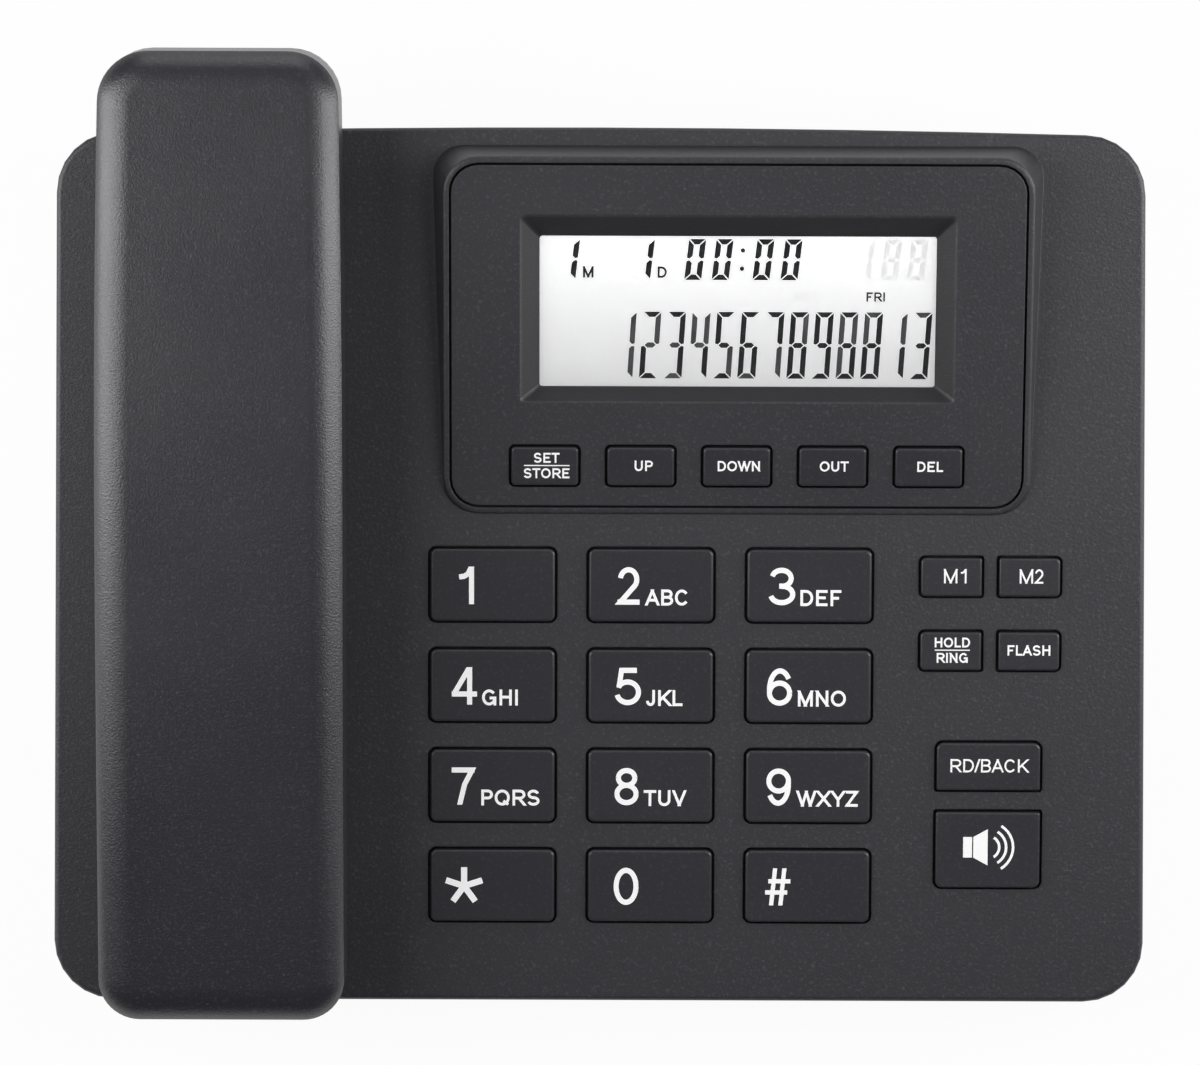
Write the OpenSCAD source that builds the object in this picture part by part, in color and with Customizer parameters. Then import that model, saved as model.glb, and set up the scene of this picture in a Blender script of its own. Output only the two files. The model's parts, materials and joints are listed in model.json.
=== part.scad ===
// Corded desk telephone with a caller display and hands-free speaker. Sizes are in millimetres.
// The desk is z = 0, +X runs to the right and +Y to the back of the phone.

/* [Base housing] */
// Width of the base at its back corners
base_w = 217.2; // [214:0.2:230]
// How much further each side stands out at the front corners
front_flare = 1.6; // [0:0.1:3]
// Depth of the base along its sides
base_d = 174.3; // [172:0.1:186]
// Place of the base's middle, measured to the back from the middle of the handset
base_mid_y = -6.45; // [-8:0.05:-5]
// Corner radius of the base seen from above
corner_r = 12; // [10:0.5:14]
// How far the back edge bows out at its middle
back_bow = 1.2; // [0:0.1:2]
// Slope of the key deck in degrees
deck_slope = 7; // [6:0.5:8]
// Height of the deck above the desk at the front edge
front_h = 24; // [23:0.5:28]
// Rounding of the deck's outer edge
edge_r = 1; // [0.8:0.1:2.4]
// Wall thickness of both base housings
wall = 2.4; // [2:0.1:2.6]
// Height of the joint between the upper and the lower housing
parting_h = 12; // [11:0.5:13]
// Step from the upper housing in to the lower one at the joint
parting_step = 0.6; // [0.2:0.1:1.2]
// How far the lower housing draws in towards the desk
under_cut = 6; // [4:0.5:8]
// Height and thickness of the lip that centres the two housings
lip_h = 2.2; // [1.5:0.1:2.6]
lip_t = 1.2; // [1:0.1:1.6]

/* [Feet and base screws] */
// Diameter of a rubber foot
foot_d = 13; // [10:0.5:16]
// Height of the feet under the lower housing
foot_h = 2.5; // [2:0.1:4]
// Depth of the recess that holds a foot
foot_seat = 0.8; // [0.4:0.1:1.2]
// Distance of the feet from the sides and from the front and back edge
foot_margin = 20; // [18:0.5:26]
// Shank radius of a base screw
screw_r = 1.45; // [1.2:0.05:1.7]
// Head radius and height of a base screw
screw_head_r = 2.9; // [2.4:0.1:3.2]
screw_head_h = 2; // [1.6:0.1:2.4]
// How far a base screw reaches above its head
screw_l = 14; // [11:0.5:16]
// Radius of the screw columns and bosses
column_r = 5; // [4.5:0.1:5.5]
// Height of the joint between a screw column and its boss
column_top = 10; // [9:0.5:10.5]
// Distance of the two right screws from the right side, the front and the back edge
screw_side = 12; // [11.5:0.1:12.2]
screw_front = 13; // [12.5:0.5:15]
screw_back = 15; // [13:0.5:20]
// Places of the two left screws, to the back of the handset's middle
left_screw_y = [18, -25];

/* [Key deck] */
// Gap round a key in its opening
key_gap = 0.5; // [0.4:0.05:0.7]
// How far a dial or side key stands above the deck
key_rise = 1; // [0.6:0.1:1.6]
// Chamfer of a key's top edge
key_edge = 0.4; // [0.2:0.1:0.6]
// How far a key can be pressed
key_travel = 1.2; // [0.8:0.1:1.4]
// Flange that keeps a key in: overhang, thickness and gap to the plate above it
flange = 0.8; // [0.6:0.1:1]
flange_t = 1; // [0.8:0.1:1.4]
flange_gap = 0.2; // [0.1:0.05:0.4]
// Post under a key: radius, and length below the flange past the key's travel
post_r = 2.6; // [2:0.1:3]
post_spare = 0.4; // [0.3:0.05:0.8]
// Thickness of a key's top
key_top_t = 1.4; // [1.2:0.1:2]
// Rubber dome under a key: height, foot radius and skin
dome_h = 3; // [2.5:0.1:4]
dome_r = 4; // [3.6:0.1:4.2]
dome_skin = 0.8; // [0.6:0.1:1]
// Gap between a key's post and its dome
dome_gap = 0.1; // [0.05:0.05:0.2]
// Thickness of the rubber mats and of the circuit boards
mat_t = 1; // [0.8:0.1:1.4]
board_t = 1.6; // [1.2:0.1:2]

/* [Dial keys] */
// Opening of a dial key
dial_w = 26; // [22:0.2:27]
dial_d = 15.6; // [13:0.2:16.2]
dial_r = 1.7; // [1:0.1:3]
// Middle column of the dial, to the right of the base's middle
dial_u = 10.3; // [8:0.1:12]
// Distance between columns and between rows
col_pitch = 31.8; // [30.5:0.1:32.4]
row_pitch = 20.4; // [19:0.1:20.8]
// Lowest row of keys, from the deck's front edge
front_margin = 23.7; // [22:0.1:25]

/* [Side keys] */
// Middle of the side keys, to the right of the base's middle
side_u = 78.45; // [77:0.1:80]
// Opening of a memory, hold or flash key and the distance between a pair
small_w = 13.2; // [11:0.1:13.4]
small_d = 8.7; // [7:0.1:9.6]
small_r = 1.4; // [1:0.1:2]
small_pitch = 15.7; // [15.3:0.1:16]
// Opening of the redial key
redial_w = 21.8; // [18:0.2:24]
redial_d = 10.6; // [8:0.2:11.4]
// Opening of the speaker key
speaker_w = 22; // [18:0.2:24]
speaker_d = 16.4; // [14:0.2:17]
// Corner radius of the redial and speaker keys
wide_r = 1.8; // [1:0.1:3]
// Corner radius on the side where two keys of a group face each other
facing_r = 0.6; // [0.5:0.1:1]
// Places of the side keys behind the dial's top row
memory_v = 1.9; // [0:0.1:3]
hold_v = -13.1; // [-14:0.1:-12]
redial_v = -36.6; // [-37:0.1:-33]
speaker_v = -53.6; // [-55:0.1:-53]

/* [Display pod] */
// Tilt of the display panel against the deck in degrees
panel_tilt = 7; // [5:0.5:8]
// Distance from the deck's back edge to the line where the panel would meet the deck
pod_run = 81.3; // [80:0.1:82]
// Middle of the panel, to the right of the base's middle and back from that line
panel_u = 27.3; // [26:0.1:28]
panel_v = 41.4; // [41:0.1:42]
// Opening for the panel and the gap round the panel
panel_w = 115; // [110:0.5:117]
panel_d = 70.2; // [68:0.2:71]
panel_r = 6; // [3:0.5:8]
panel_gap = 0.5; // [0.3:0.05:0.8]
// Thickness of the panel and width of the ledge under it
panel_t = 2.6; // [2.2:0.1:3]
ledge = 2.5; // [1.5:0.1:3]
// Flat rim of the pod round the panel, and rounding of its edge
rim = 1.3; // [0.8:0.1:2]
rim_r = 0.6; // [0.3:0.1:0.8]
// How much wider the pod's foot is than its rim, at the sides and at the back
pod_flare = 2.2; // [1:0.1:3]
pod_back_flare = 1.2; // [0.5:0.1:1.6]

/* [Display] */
// Bevelled recess round the display: opening, place of its middle from the panel's back edge, depth
recess_w = 86.8; // [82:0.2:88]
recess_d = 38.2; // [36:0.2:39]
recess_v = 29.5; // [29.1:0.1:30.1]
recess_depth = 3.5; // [3.2:0.1:4]
// Part of the display that shows, and place of its middle from the panel's back edge
view_w = 79; // [74:0.2:80]
view_d = 30.6; // [28:0.2:31]
view_v = 30.65; // [30.1:0.05:31.1]
// How far the pane reaches under the bevel, and its thickness
pane_lap = 2.4; // [1.5:0.1:3]
pane_t = 1.5; // [1:0.1:1.8]
// How far the display reaches past the part that shows
lcd_lap = 3; // [2:0.1:3.6]
// Clearance of the pane and the display in their frame
display_gap = 0.15; // [0.1:0.05:0.25]
// Wall of the frame round the pane
frame_t = 1.6; // [1.2:0.1:2]
// Opening of a key under the display, distance between keys and place from the panel's front edge
function_w = 14.4; // [12:0.1:15]
function_d = 8.8; // [7:0.1:9.4]
function_r = 1.2; // [0.6:0.1:2]
function_pitch = 19.2; // [18:0.1:20]
function_v = 8.65; // [8.1:0.05:9.1]
// How far such a key stands above the panel
function_rise = 0.8; // [0.4:0.1:1.2]

/* [Boards] */
// Screw posts: radius, and how far in from the corners of the board
stud_r = 2.8; // [2.4:0.1:3]
stud_inset = 4.2; // [4:0.1:4.4]
// Board screw: shank radius, head radius and height, reach above the board
stud_screw_r = 1; // [0.8:0.05:1.2]
stud_head_r = 2.1; // [1.8:0.1:2.4]
stud_head_h = 1.4; // [1:0.1:1.8]
stud_screw_l = 4; // [3:0.1:4.5]
// Clearance between a screw and its hole
screw_gap = 0.05; // [0.05:0.01:0.15]
// How far the main board reaches past the dial keys on the left and past the side keys' middles
board_left = 9; // [8:0.1:9.4]
board_right = 14; // [13:0.1:15]
// How far the main board reaches past the top and the bottom row's middle
board_ahead = 10; // [9:0.1:10.6]
// How far the dial mat stays in from the main board's edge
mat_inset = 1; // [0.6:0.1:1.4]
// How far the mat under the display's keys reaches past the domes
mat_margin = 1; // [0.6:0.1:2]
// How far the display board stays in from the ledge
board_inset = 1; // [0.6:0.1:1.2]
// Parts under the main board: place of a corner from the board's middle, then width, depth and height
main_parts = [[-20, 5, 14, 14, 2], [14, 14, 8, 12, 4], [30, -20, 10, 6, 3]];
// Parts under the display board, given in the same way
panel_parts = [[-8, -6, 12, 12, 2], [20, -10, 9, 4, 3]];

/* [Sockets] */
// Line socket: outer width, height and depth
line_w = 13; // [12:0.1:14]
line_h = 10.5; // [10:0.1:11.5]
line_l = 14; // [13:0.1:15]
// Line plug's channel
line_plug_w = 9.85; // [9.7:0.05:10]
line_plug_h = 6.8; // [6.7:0.05:7]
// Handset cord sockets: outer width, height and depth
cord_w = 10.8; // [10.4:0.1:12]
cord_h = 9.8; // [9.6:0.1:10.2]
cord_l = 13; // [12.5:0.1:14]
// Handset cord plug's channel
cord_plug_w = 7.85; // [7.75:0.05:8]
cord_plug_h = 6.8; // [6.7:0.05:7]
// Depth of a channel and the notch for the plug's latch: width and depth
channel_l = 11; // [10:0.1:11.5]
latch_w = 4.4; // [4:0.1:5]
latch_d = 1.3; // [1:0.1:1.5]
// Gap between a socket and the housing
socket_gap = 0.2; // [0.1:0.05:0.3]
// Height of the base's sockets above the desk
socket_z = 15; // [14.8:0.1:16]
// Line socket, to the right of the base's middle
line_x = -20; // [-35:1:-5]
// Handset socket, to the back of the handset's middle
jack_y = -4; // [-8:1:2]

/* [Loudspeaker and microphone] */
// Hands-free speaker: rim radius, magnet radius and height
speaker_r = 28; // [24:0.5:29]
magnet_r = 14; // [11:0.5:16]
speaker_h = 14; // [12:0.5:16]
// Place of the speaker
speaker_x = 45; // [43:1:48]
speaker_y = 40; // [38:1:42]
// Width of a grille slot and distance between slots
slot_w = 2; // [1.6:0.1:2.4]
slot_pitch = 4.5; // [4:0.1:6]
// Ring that centres the speaker: height and wall
ring_h = 3; // [2:0.1:4]
ring_t = 1.2; // [1:0.1:1.4]
// Microphone capsule: radius and length
mic_r = 3; // [2.5:0.1:3.2]
mic_l = 5; // [4:0.1:6]
// Microphone, to the right of the base's middle and above the desk
mic_x = 60; // [50:1:70]
mic_z = 18.8; // [18.7:0.1:19]
// Clearance round a capsule
capsule_gap = 0.15; // [0.1:0.05:0.25]

/* [Handset] */
// Width and length of the handset
handset_w = 48.8; // [46:0.2:52]
handset_l = 192.4; // [188:0.2:198]
// Corner radii seen from above, at the back end and at the front end
handset_r = 10; // [8:0.5:13]
handset_front_r = 8.2; // [7.5:0.1:10]
// How much each long side draws in towards the back end
handset_taper = 0.8; // [0:0.1:1.5]
// Distance from the base's left side to the handset
handset_side = 9.2; // [8:0.1:12]
// Place of the handset's middle along the deck
handset_v = 2.1; // [1:0.1:2.6]
// Height of the back over the deck at the middle, and how much lower it is at the ends
crown_w = 28; // [26:0.5:31]
crown_arch = 3; // [2:0.1:4]
// Rounding of the back's edge, and the angle it turns through above the upright side
crown_r = 6.5; // [5:0.1:7.5]
crown_turn = 60; // [50:1:80]
// Height of the joint between the shells and of the grip's underside over the deck
handset_joint = 12; // [11.5:0.1:13]
grip_w = 3.5; // [3:0.1:4]
// Rounding of the underside's edge
grip_r = 3; // [2.6:0.1:4]
// Wall thickness of the shells
handset_wall = 2.2; // [1.8:0.1:2.4]
// Ear and mouth pads: width, lengths and corner radius
pad_w = 40; // [36:0.5:42]
ear_l = 36; // [34:0.5:37]
mouth_l = 32; // [28:0.5:33]
pad_r = 8; // [6:0.5:10]
// Chamfer of a pad's lower edge
pad_edge = 1.5; // [0.8:0.1:2]
// Middle of each pad from its end of the handset
ear_end = 40; // [39.5:0.1:42]
mouth_end = 24; // [23.5:0.1:26]
// Ear speaker: radius and height
ear_r = 14; // [12:0.1:14.2]
ear_h = 8; // [6:0.1:9]
// Handset microphone: radius and height
voice_r = 4.8; // [4:0.1:6]
voice_h = 6; // [5:0.1:8]
// Holes in the pads: radius, and radius of their ring in the ear pad
hole_r = 1.2; // [0.8:0.1:1.4]
hole_ring = 7; // [5:0.1:9]
// Steel weight in the grip: width, length and height
weight_w = 24; // [16:0.5:30]
weight_l = 50; // [30:1:54]
weight_h = 5; // [3:0.1:5.6]
// Handset screws: places from the handset's middle, reach above the head
handset_screw_v = [33, -43];
handset_screw_l = 11; // [9:0.5:14]

/* [Cradle and hook switch] */
// Depth of the two wells under the deck
well_depth = 9; // [8:0.1:9.4]
// Gap round a pad in its well and under it
well_gap = 1; // [0.6:0.1:1.2]
seat_gap = 0.2; // [0.15:0.05:0.4]
// Wall and floor of a well
well_t = 2; // [1.6:0.1:2.2]
// Hook plunger: width, depth and place in front of the ear pad's middle
hook_w = 12; // [10:0.1:14]
hook_d = 7; // [6:0.1:8]
hook_v = 9; // [8:0.1:10]
// How far the plunger rises when the handset is lifted
hook_travel = 4.5; // [3:0.1:5]
// Gap between the plunger and the pad, its hole and the switch
hook_gap = 0.3; // [0.25:0.05:0.5]
// Flange that keeps the plunger in: overhang and thickness
hook_flange = 1.5; // [1:0.1:2]
hook_flange_t = 1.5; // [1:0.1:2]
// Stem that presses the switch: width and length
stem_w = 4; // [3:0.1:5]
stem_l = 2.2; // [1.5:0.1:3]
// Hook switch: width, depth and height
switch_w = 20; // [19:0.1:22]
switch_d = 8; // [6:0.1:9]
switch_h = 7; // [5:0.1:8]

/* [Hidden] */
// height of the slices that a hull is stretched between
slab = 0.5;
// length that a cut runs past the face it cuts
over = 1;
// steps in a corner arc, in an edge rounding and along the bowed back
arc_n = 6;
round_n = 4;
bow_n = 8;
hull_fn = 32;
round_fn = 64;

// middles of the handset's pads, and how far the wells that take them reach
ear_v = handset_v + handset_l / 2 - ear_end;
mouth_v = handset_v - handset_l / 2 + mouth_end;
well_back = (ear_v + ear_l / 2 + well_gap + well_t) * cos(deck_slope) + (well_depth + well_t) * sin(deck_slope);
well_front = (mouth_v - mouth_l / 2 - well_gap - well_t) * cos(deck_slope);
// the base reaches at least as far as the wells
front_y = min(base_mid_y - base_d / 2, well_front);
back_y = max(base_mid_y + base_d / 2, well_back);
deck_z = front_h - front_y * tan(deck_slope);
deck_front = front_y / cos(deck_slope);
deck_back = back_y / cos(deck_slope);
floor_z = foot_h + wall;

top_row = deck_front + front_margin + 3 * row_pitch;
// corner radii run from the back right corner to the left and round
left_corners = [facing_r, small_r, small_r, facing_r];
right_corners = [small_r, facing_r, facing_r, small_r];
side_size = [
    [small_w, small_d, left_corners],
    [small_w, small_d, right_corners],
    [small_w, small_d, left_corners],
    [small_w, small_d, right_corners],
    [redial_w, redial_d, [wide_r, wide_r, facing_r, facing_r]],
    [speaker_w, speaker_d, [facing_r, facing_r, wide_r, wide_r]]
];
side_at = [
    [side_u - small_pitch / 2, top_row + memory_v],
    [side_u + small_pitch / 2, top_row + memory_v],
    [side_u - small_pitch / 2, top_row + hold_v],
    [side_u + small_pitch / 2, top_row + hold_v],
    [side_u, top_row + redial_v],
    [side_u, top_row + speaker_v]
];
dial_at = [for (row = [0:3], col = [-1:1]) [dial_u + col * col_pitch, top_row - row * row_pitch]];
recess_mid = panel_d / 2 - recess_v;
view_mid = panel_d / 2 - view_v;
function_mid = function_v - panel_d / 2;
function_at = [for (i = [-2:2]) [panel_u + i * function_pitch, panel_v + function_mid]];

// depth below a plate's face of a key's flange, its dome and the mat and board under it
function flange_end(plate) = plate + flange_gap + flange_t;
function post_end(plate) = flange_end(plate) + key_travel + post_spare;
function dome_top(plate) = post_end(plate) + dome_gap;
function mat_top(plate) = dome_top(plate) + dome_h;
function board_top(plate) = mat_top(plate) + mat_t;

// main board, in the deck's plane
board_x0 = dial_u - col_pitch - dial_w / 2 - board_left;
board_x1 = side_u + board_right;
board_y0 = top_row - 3 * row_pitch - board_ahead;
board_y1 = top_row + board_ahead;
board_mid = [(board_x0 + board_x1) / 2, (board_y0 + board_y1) / 2];
board_size = [board_x1 - board_x0, board_y1 - board_y0];
// the right posts stand in the gap between the dial and the side keys
side_half = max(small_pitch + small_w, redial_w, speaker_w) / 2;
stud_x1 = (dial_u + col_pitch + dial_w / 2 + side_u - side_half) / 2;
stud_at = [
    for (x = [board_x0 + stud_inset, stud_x1], y = [board_y0 + stud_inset, board_y1 - stud_inset]) [x, y]
];

// display board, in the panel's plane
panel_board = [panel_w - 2 * ledge - 2 * board_inset, panel_d - 2 * ledge - 2 * board_inset];
panel_stud_at = [
    for (sx = [-1, 1], sy = [-1, 1])
        [panel_u + sx * (panel_board[0] / 2 - stud_inset), panel_v + sy * (panel_board[1] / 2 - stud_inset)]
];
pane_top = recess_depth;
pane_end = recess_depth + pane_t;

handset_u = -base_w / 2 + handset_side + handset_w / 2;
pad_z = seat_gap - well_depth;
grip_floor = grip_w + handset_wall;
socket_mid_w = handset_joint;
plunger_v = ear_v - hook_v;
plunger_top = pad_z - hook_gap;
hook_stop = -well_depth - well_t - hook_travel - hook_gap;
stem_end = hook_stop - hook_flange_t - stem_l;
switch_top = stem_end - hook_gap;

screw_at = concat(
    [for (y = left_screw_y) [handset_u, y]],
    [[base_w / 2 - screw_side, front_y + screw_front], [base_w / 2 - screw_side, back_y - screw_back]]
);
// seats of the screw heads, over the desk and over the deck
screw_seat = column_top - screw_head_h - wall;
handset_seat = grip_w + screw_head_h + grip_r / 2;

black = [0.09, 0.09, 0.1];
dark = [0.13, 0.13, 0.14];
grey = [0.45, 0.46, 0.47];
steel = [0.72, 0.73, 0.74];
board_green = [0.1, 0.32, 0.2];
glass = [0.85, 0.88, 0.88];

dial_names = [
    "key_1", "key_2", "key_3", "key_4", "key_5", "key_6",
    "key_7", "key_8", "key_9", "key_star", "key_0", "key_hash"
];
function_names = ["key_set", "key_up", "key_down", "key_out", "key_del"];
side_names = ["key_m1", "key_m2", "key_hold", "key_flash", "key_redial", "key_speaker"];

function arc(x, y, r, a0, a1) = [
    for (i = [0:arc_n]) [x + r * cos(a0 + (a1 - a0) * i / arc_n), y + r * sin(a0 + (a1 - a0) * i / arc_n)]
];

// rectangle with round corners, of one radius or of a list from the back right corner to the left and round
function outline(w, d, r) =
    let (q = is_list(r) ? r : [r, r, r, r])
    concat(
        arc(w / 2 - q[0], d / 2 - q[0], q[0], 0, 90),
        arc(q[1] - w / 2, d / 2 - q[1], q[1], 90, 180),
        arc(q[2] - w / 2, q[2] - d / 2, q[2], 180, 270),
        arc(w / 2 - q[3], q[3] - d / 2, q[3], 270, 360)
    );

// corner radii of an outline that is drawn in by inset, or out where inset is negative
function corners(r, inset) = is_list(r) ? [for (q = r) max(q - inset, key_edge)] : max(r - inset, key_edge);

// the base seen from above, drawn in by inset, with its bowed back edge
function plan(inset) =
    let (x = base_w / 2 - corner_r, f = x + front_flare, r = corner_r - inset)
    concat(
        arc(-f, front_y + corner_r, r, 180, 270),
        arc(f, front_y + corner_r, r, 270, 360),
        arc(x, back_y - corner_r, r, 0, 90),
        [for (i = [1:bow_n - 1]) let (t = 1 - 2 * i / bow_n) [x * t, back_y - inset + back_bow * (1 - t * t)]],
        arc(-x, back_y - corner_r, r, 90, 180)
    );

// outer face of the back wall at x
function back_at(x) = back_y + back_bow * (1 - pow(x / (base_w / 2 - corner_r), 2));

// outer face of the side walls at y, as a distance from the middle
function flank_at(y) =
    base_w / 2 + front_flare * (back_y - corner_r - y) / (back_y - front_y - 2 * corner_r);

// height of the deck over the desk at y
function deck_at(y) = deck_z + y * tan(deck_slope);

// handset, t running from -1 in front to 1 at the back: height of its back over the deck,
// corner radius, and middle of the corner's arc
function crown_at(t) = crown_w - crown_arch * t * t;
function corner_at(t) = t > 0 ? handset_r : handset_front_r;
function corner_mid(t) =
    [handset_w / 2 - handset_taper * pow(max(t, 0), 2) - corner_at(t), t * (handset_l / 2 - corner_at(t))];

module on_deck() {
    translate([0, 0, deck_z])
        rotate([deck_slope, 0, 0])
            children();
}

module on_panel() {
    on_deck()
        translate([0, deck_back - pod_run, 0])
            rotate([panel_tilt, 0, 0])
                children();
}

module prism(w, d, r, z0, z1) {
    translate([0, 0, z0])
        linear_extrude(z1 - z0)
            polygon(outline(w, d, r));
}

// upright walls whose level faces are sheared to the deck's slope
module sheared() {
    multmatrix([[1, 0, 0, 0], [0, 1, 0, 0], [0, tan(deck_slope), 1, deck_z], [0, 0, 0, 1]])
        children();
}

// wedge between a level floor and the sloped deck, with a rounded top edge
module wedge(inset, drop, round_r, z0) {
    hull() {
        translate([0, 0, z0])
            linear_extrude(slab)
                polygon(plan(inset));
        for (a = [0 : 90 / round_n : 90])
            sheared()
                translate([0, 0, -drop - round_r * (1 - sin(a)) - slab])
                    linear_extrude(slab)
                        polygon(plan(inset + round_r * (1 - cos(a))));
    }
}

// raised housing of the display, flaring from its rim to the deck
module pod() {
    rim_w = panel_w + 2 * rim;
    rim_d = panel_d + 2 * rim;
    hull() {
        on_panel()
            translate([panel_u, panel_v, 0])
                for (a = [0 : 90 / round_n : 90])
                    prism(
                        rim_w - 2 * rim_r * (1 - cos(a)), rim_d - 2 * rim_r * (1 - cos(a)), panel_r + rim,
                        rim_r * (sin(a) - 1) - slab, rim_r * (sin(a) - 1)
                    );
        on_deck()
            translate([panel_u, deck_back - pod_run + panel_v, -wall / 2])
                linear_extrude(slab)
                    for (s = [-1, 1]) {
                        translate([s * (rim_w / 2 + pod_flare - panel_r), rim_d / 2 + pod_back_flare - panel_r])
                            circle(panel_r, $fn = hull_fn);
                        translate([s * (rim_w / 2 - panel_r), panel_r - rim_d / 2])
                            circle(panel_r, $fn = hull_fn);
                    }
    }
}

module well(v, l) {
    translate([handset_u, v, 0])
        prism(
            pad_w + 2 * (well_gap + well_t), l + 2 * (well_gap + well_t), pad_r + well_gap + well_t,
            -well_depth - well_t, -wall / 2
        );
}

module well_cut(v, l) {
    translate([handset_u, v, 0])
        prism(pad_w + 2 * well_gap, l + 2 * well_gap, pad_r + well_gap, -well_depth, over);
}

// straps under the ear well that carry the hook switch
module switch_bracket() {
    strap_x = switch_w / 2 + hook_gap;
    strap_end = switch_top - switch_h - hook_gap;
    translate([handset_u, plunger_v, 0]) {
        for (s = [-1, 1])
            translate([s * (strap_x + well_t / 2) - well_t / 2, -switch_d / 2, strap_end - well_t])
                cube([well_t, switch_d, -well_depth - well_t / 2 - strap_end + well_t]);
        translate([-strap_x - well_t, -switch_d / 2, strap_end - well_t])
            cube([2 * (strap_x + well_t), switch_d, well_t]);
    }
}

module stud(x, y, plate) {
    translate([x, y, -board_top(plate)])
        cylinder(h = board_top(plate) - plate / 2, r = stud_r, $fn = round_fn);
}

module stud_hole(x, y, plate) {
    translate([x, y, -board_top(plate) - over])
        cylinder(h = stud_screw_l + over + 2 * screw_gap, r = stud_screw_r + screw_gap, $fn = round_fn);
}

module base_top() {
    color(black)
        difference() {
            union() {
                difference() {
                    union() {
                        wedge(0, 0, edge_r, parting_h);
                        pod();
                    }
                    wedge(wall, wall / cos(deck_slope), max(edge_r - wall, slab), parting_h - over);
                }
                on_deck() {
                    well(ear_v, ear_l);
                    well(mouth_v, mouth_l);
                    switch_bracket();
                    for (p = stud_at)
                        stud(p[0], p[1], wall);
                }
                for (p = screw_at)
                    translate([p[0], p[1], column_top])
                        cylinder(h = deck_at(p[1]) - wall / 2 - column_top, r = column_r - wall / 2, $fn = round_fn);
                translate([mic_x, front_y + wall * 0.75, mic_z])
                    rotate([-90, 0, 0])
                        cylinder(h = wall / 4 + mic_l, r = mic_r + capsule_gap + ring_t, $fn = round_fn);
            }
            on_deck() {
                well_cut(ear_v, ear_l);
                well_cut(mouth_v, mouth_l);
                translate([handset_u, plunger_v, 0])
                    prism(hook_w + 2 * hook_gap, hook_d + 2 * hook_gap, 1, -well_depth - well_t - over, -well_depth + over);
                for (p = dial_at)
                    translate(p)
                        prism(dial_w, dial_d, dial_r, -wall - over, over);
                for (i = [0:5])
                    translate(side_at[i])
                        prism(side_size[i][0], side_size[i][1], side_size[i][2], -wall - over, over);
                for (p = stud_at)
                    stud_hole(p[0], p[1], wall);
            }
            on_panel()
                translate([panel_u, panel_v, 0]) {
                    prism(panel_w, panel_d, panel_r, -panel_t, over);
                    prism(panel_w - 2 * ledge, panel_d - 2 * ledge, panel_r - ledge, -panel_t - pod_run / 4, 0);
                }
            for (p = screw_at)
                translate([p[0], p[1], column_top - over])
                    cylinder(
                        h = screw_seat + screw_l + hook_gap - column_top + over, r = screw_r + screw_gap, $fn = round_fn
                    );
            translate([mic_x, front_y + wall, mic_z])
                rotate([-90, 0, 0])
                    cylinder(h = mic_l + over, r = mic_r + capsule_gap, $fn = round_fn);
            translate([mic_x, front_y - over, mic_z])
                rotate([-90, 0, 0])
                    cylinder(h = wall + 2 * over, r = hole_r, $fn = round_fn);
            translate([line_x - line_w / 2 - socket_gap, back_at(line_x) - line_l / 2, socket_z - socket_gap])
                cube([line_w + 2 * socket_gap, line_l, line_h + 2 * socket_gap]);
            translate([-flank_at(jack_y) - over, jack_y - cord_w / 2 - socket_gap, socket_z - socket_gap])
                cube([cord_l / 2, cord_w + 2 * socket_gap, cord_h + 2 * socket_gap]);
        }
}

// tapered tray that starts at z0 and reaches past the joint by extra
module tray(inset, z0, extra) {
    hull() {
        translate([0, 0, z0])
            linear_extrude(slab)
                polygon(plan(under_cut + inset));
        translate([0, 0, parting_h - wall])
            linear_extrude(wall + extra)
                polygon(plan(parting_step + inset));
    }
}

module base_bottom() {
    lip_inset = wall + socket_gap;
    color(black)
        difference() {
            union() {
                difference() {
                    tray(0, foot_h, 0);
                    tray(wall, floor_z, over);
                }
                translate([0, 0, parting_h - wall / 2])
                    linear_extrude(wall / 2 + lip_h)
                        difference() {
                            polygon(plan(lip_inset));
                            polygon(plan(lip_inset + lip_t));
                        }
                for (p = screw_at)
                    translate([p[0], p[1], floor_z - wall / 2])
                        cylinder(h = column_top - floor_z + wall / 2, r = column_r, $fn = round_fn);
                translate([speaker_x, speaker_y, floor_z - wall / 2])
                    cylinder(h = ring_h + wall / 2, r = speaker_r + capsule_gap + ring_t, $fn = round_fn);
                translate([line_x - line_w / 2, back_at(line_x) - line_l, floor_z - wall / 2])
                    cube([line_w, line_l / 2, socket_z - socket_gap - floor_z + wall / 2]);
                translate([cord_l / 2 - flank_at(jack_y), jack_y - cord_w / 2, floor_z - wall / 2])
                    cube([cord_l / 2, cord_w, socket_z - socket_gap - floor_z + wall / 2]);
            }
            translate([speaker_x, speaker_y, floor_z])
                cylinder(h = ring_h + over, r = speaker_r + capsule_gap, $fn = round_fn);
            grille();
            for (p = screw_at)
                translate([p[0], p[1], 0]) {
                    cylinder(h = screw_seat, r = screw_head_r + hook_gap, $fn = round_fn);
                    cylinder(h = column_top + over, r = screw_r + screw_gap, $fn = round_fn);
                }
            foot_places()
                translate([0, 0, foot_h - over])
                    cylinder(h = foot_seat + over, r = foot_d / 2 + screw_gap, $fn = round_fn);
        }
}

// slots in the floor under the loudspeaker
module grille() {
    slots = floor((speaker_r - slot_w) / slot_pitch) - 1;
    for (i = [-slots:slots]) {
        half = sqrt(pow(speaker_r - 2 * slot_w, 2) - pow(i * slot_pitch, 2));
        translate([speaker_x + i * slot_pitch - slot_w / 2, speaker_y - half, foot_h - over])
            cube([slot_w, 2 * half, wall + 2 * over]);
    }
}

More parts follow.
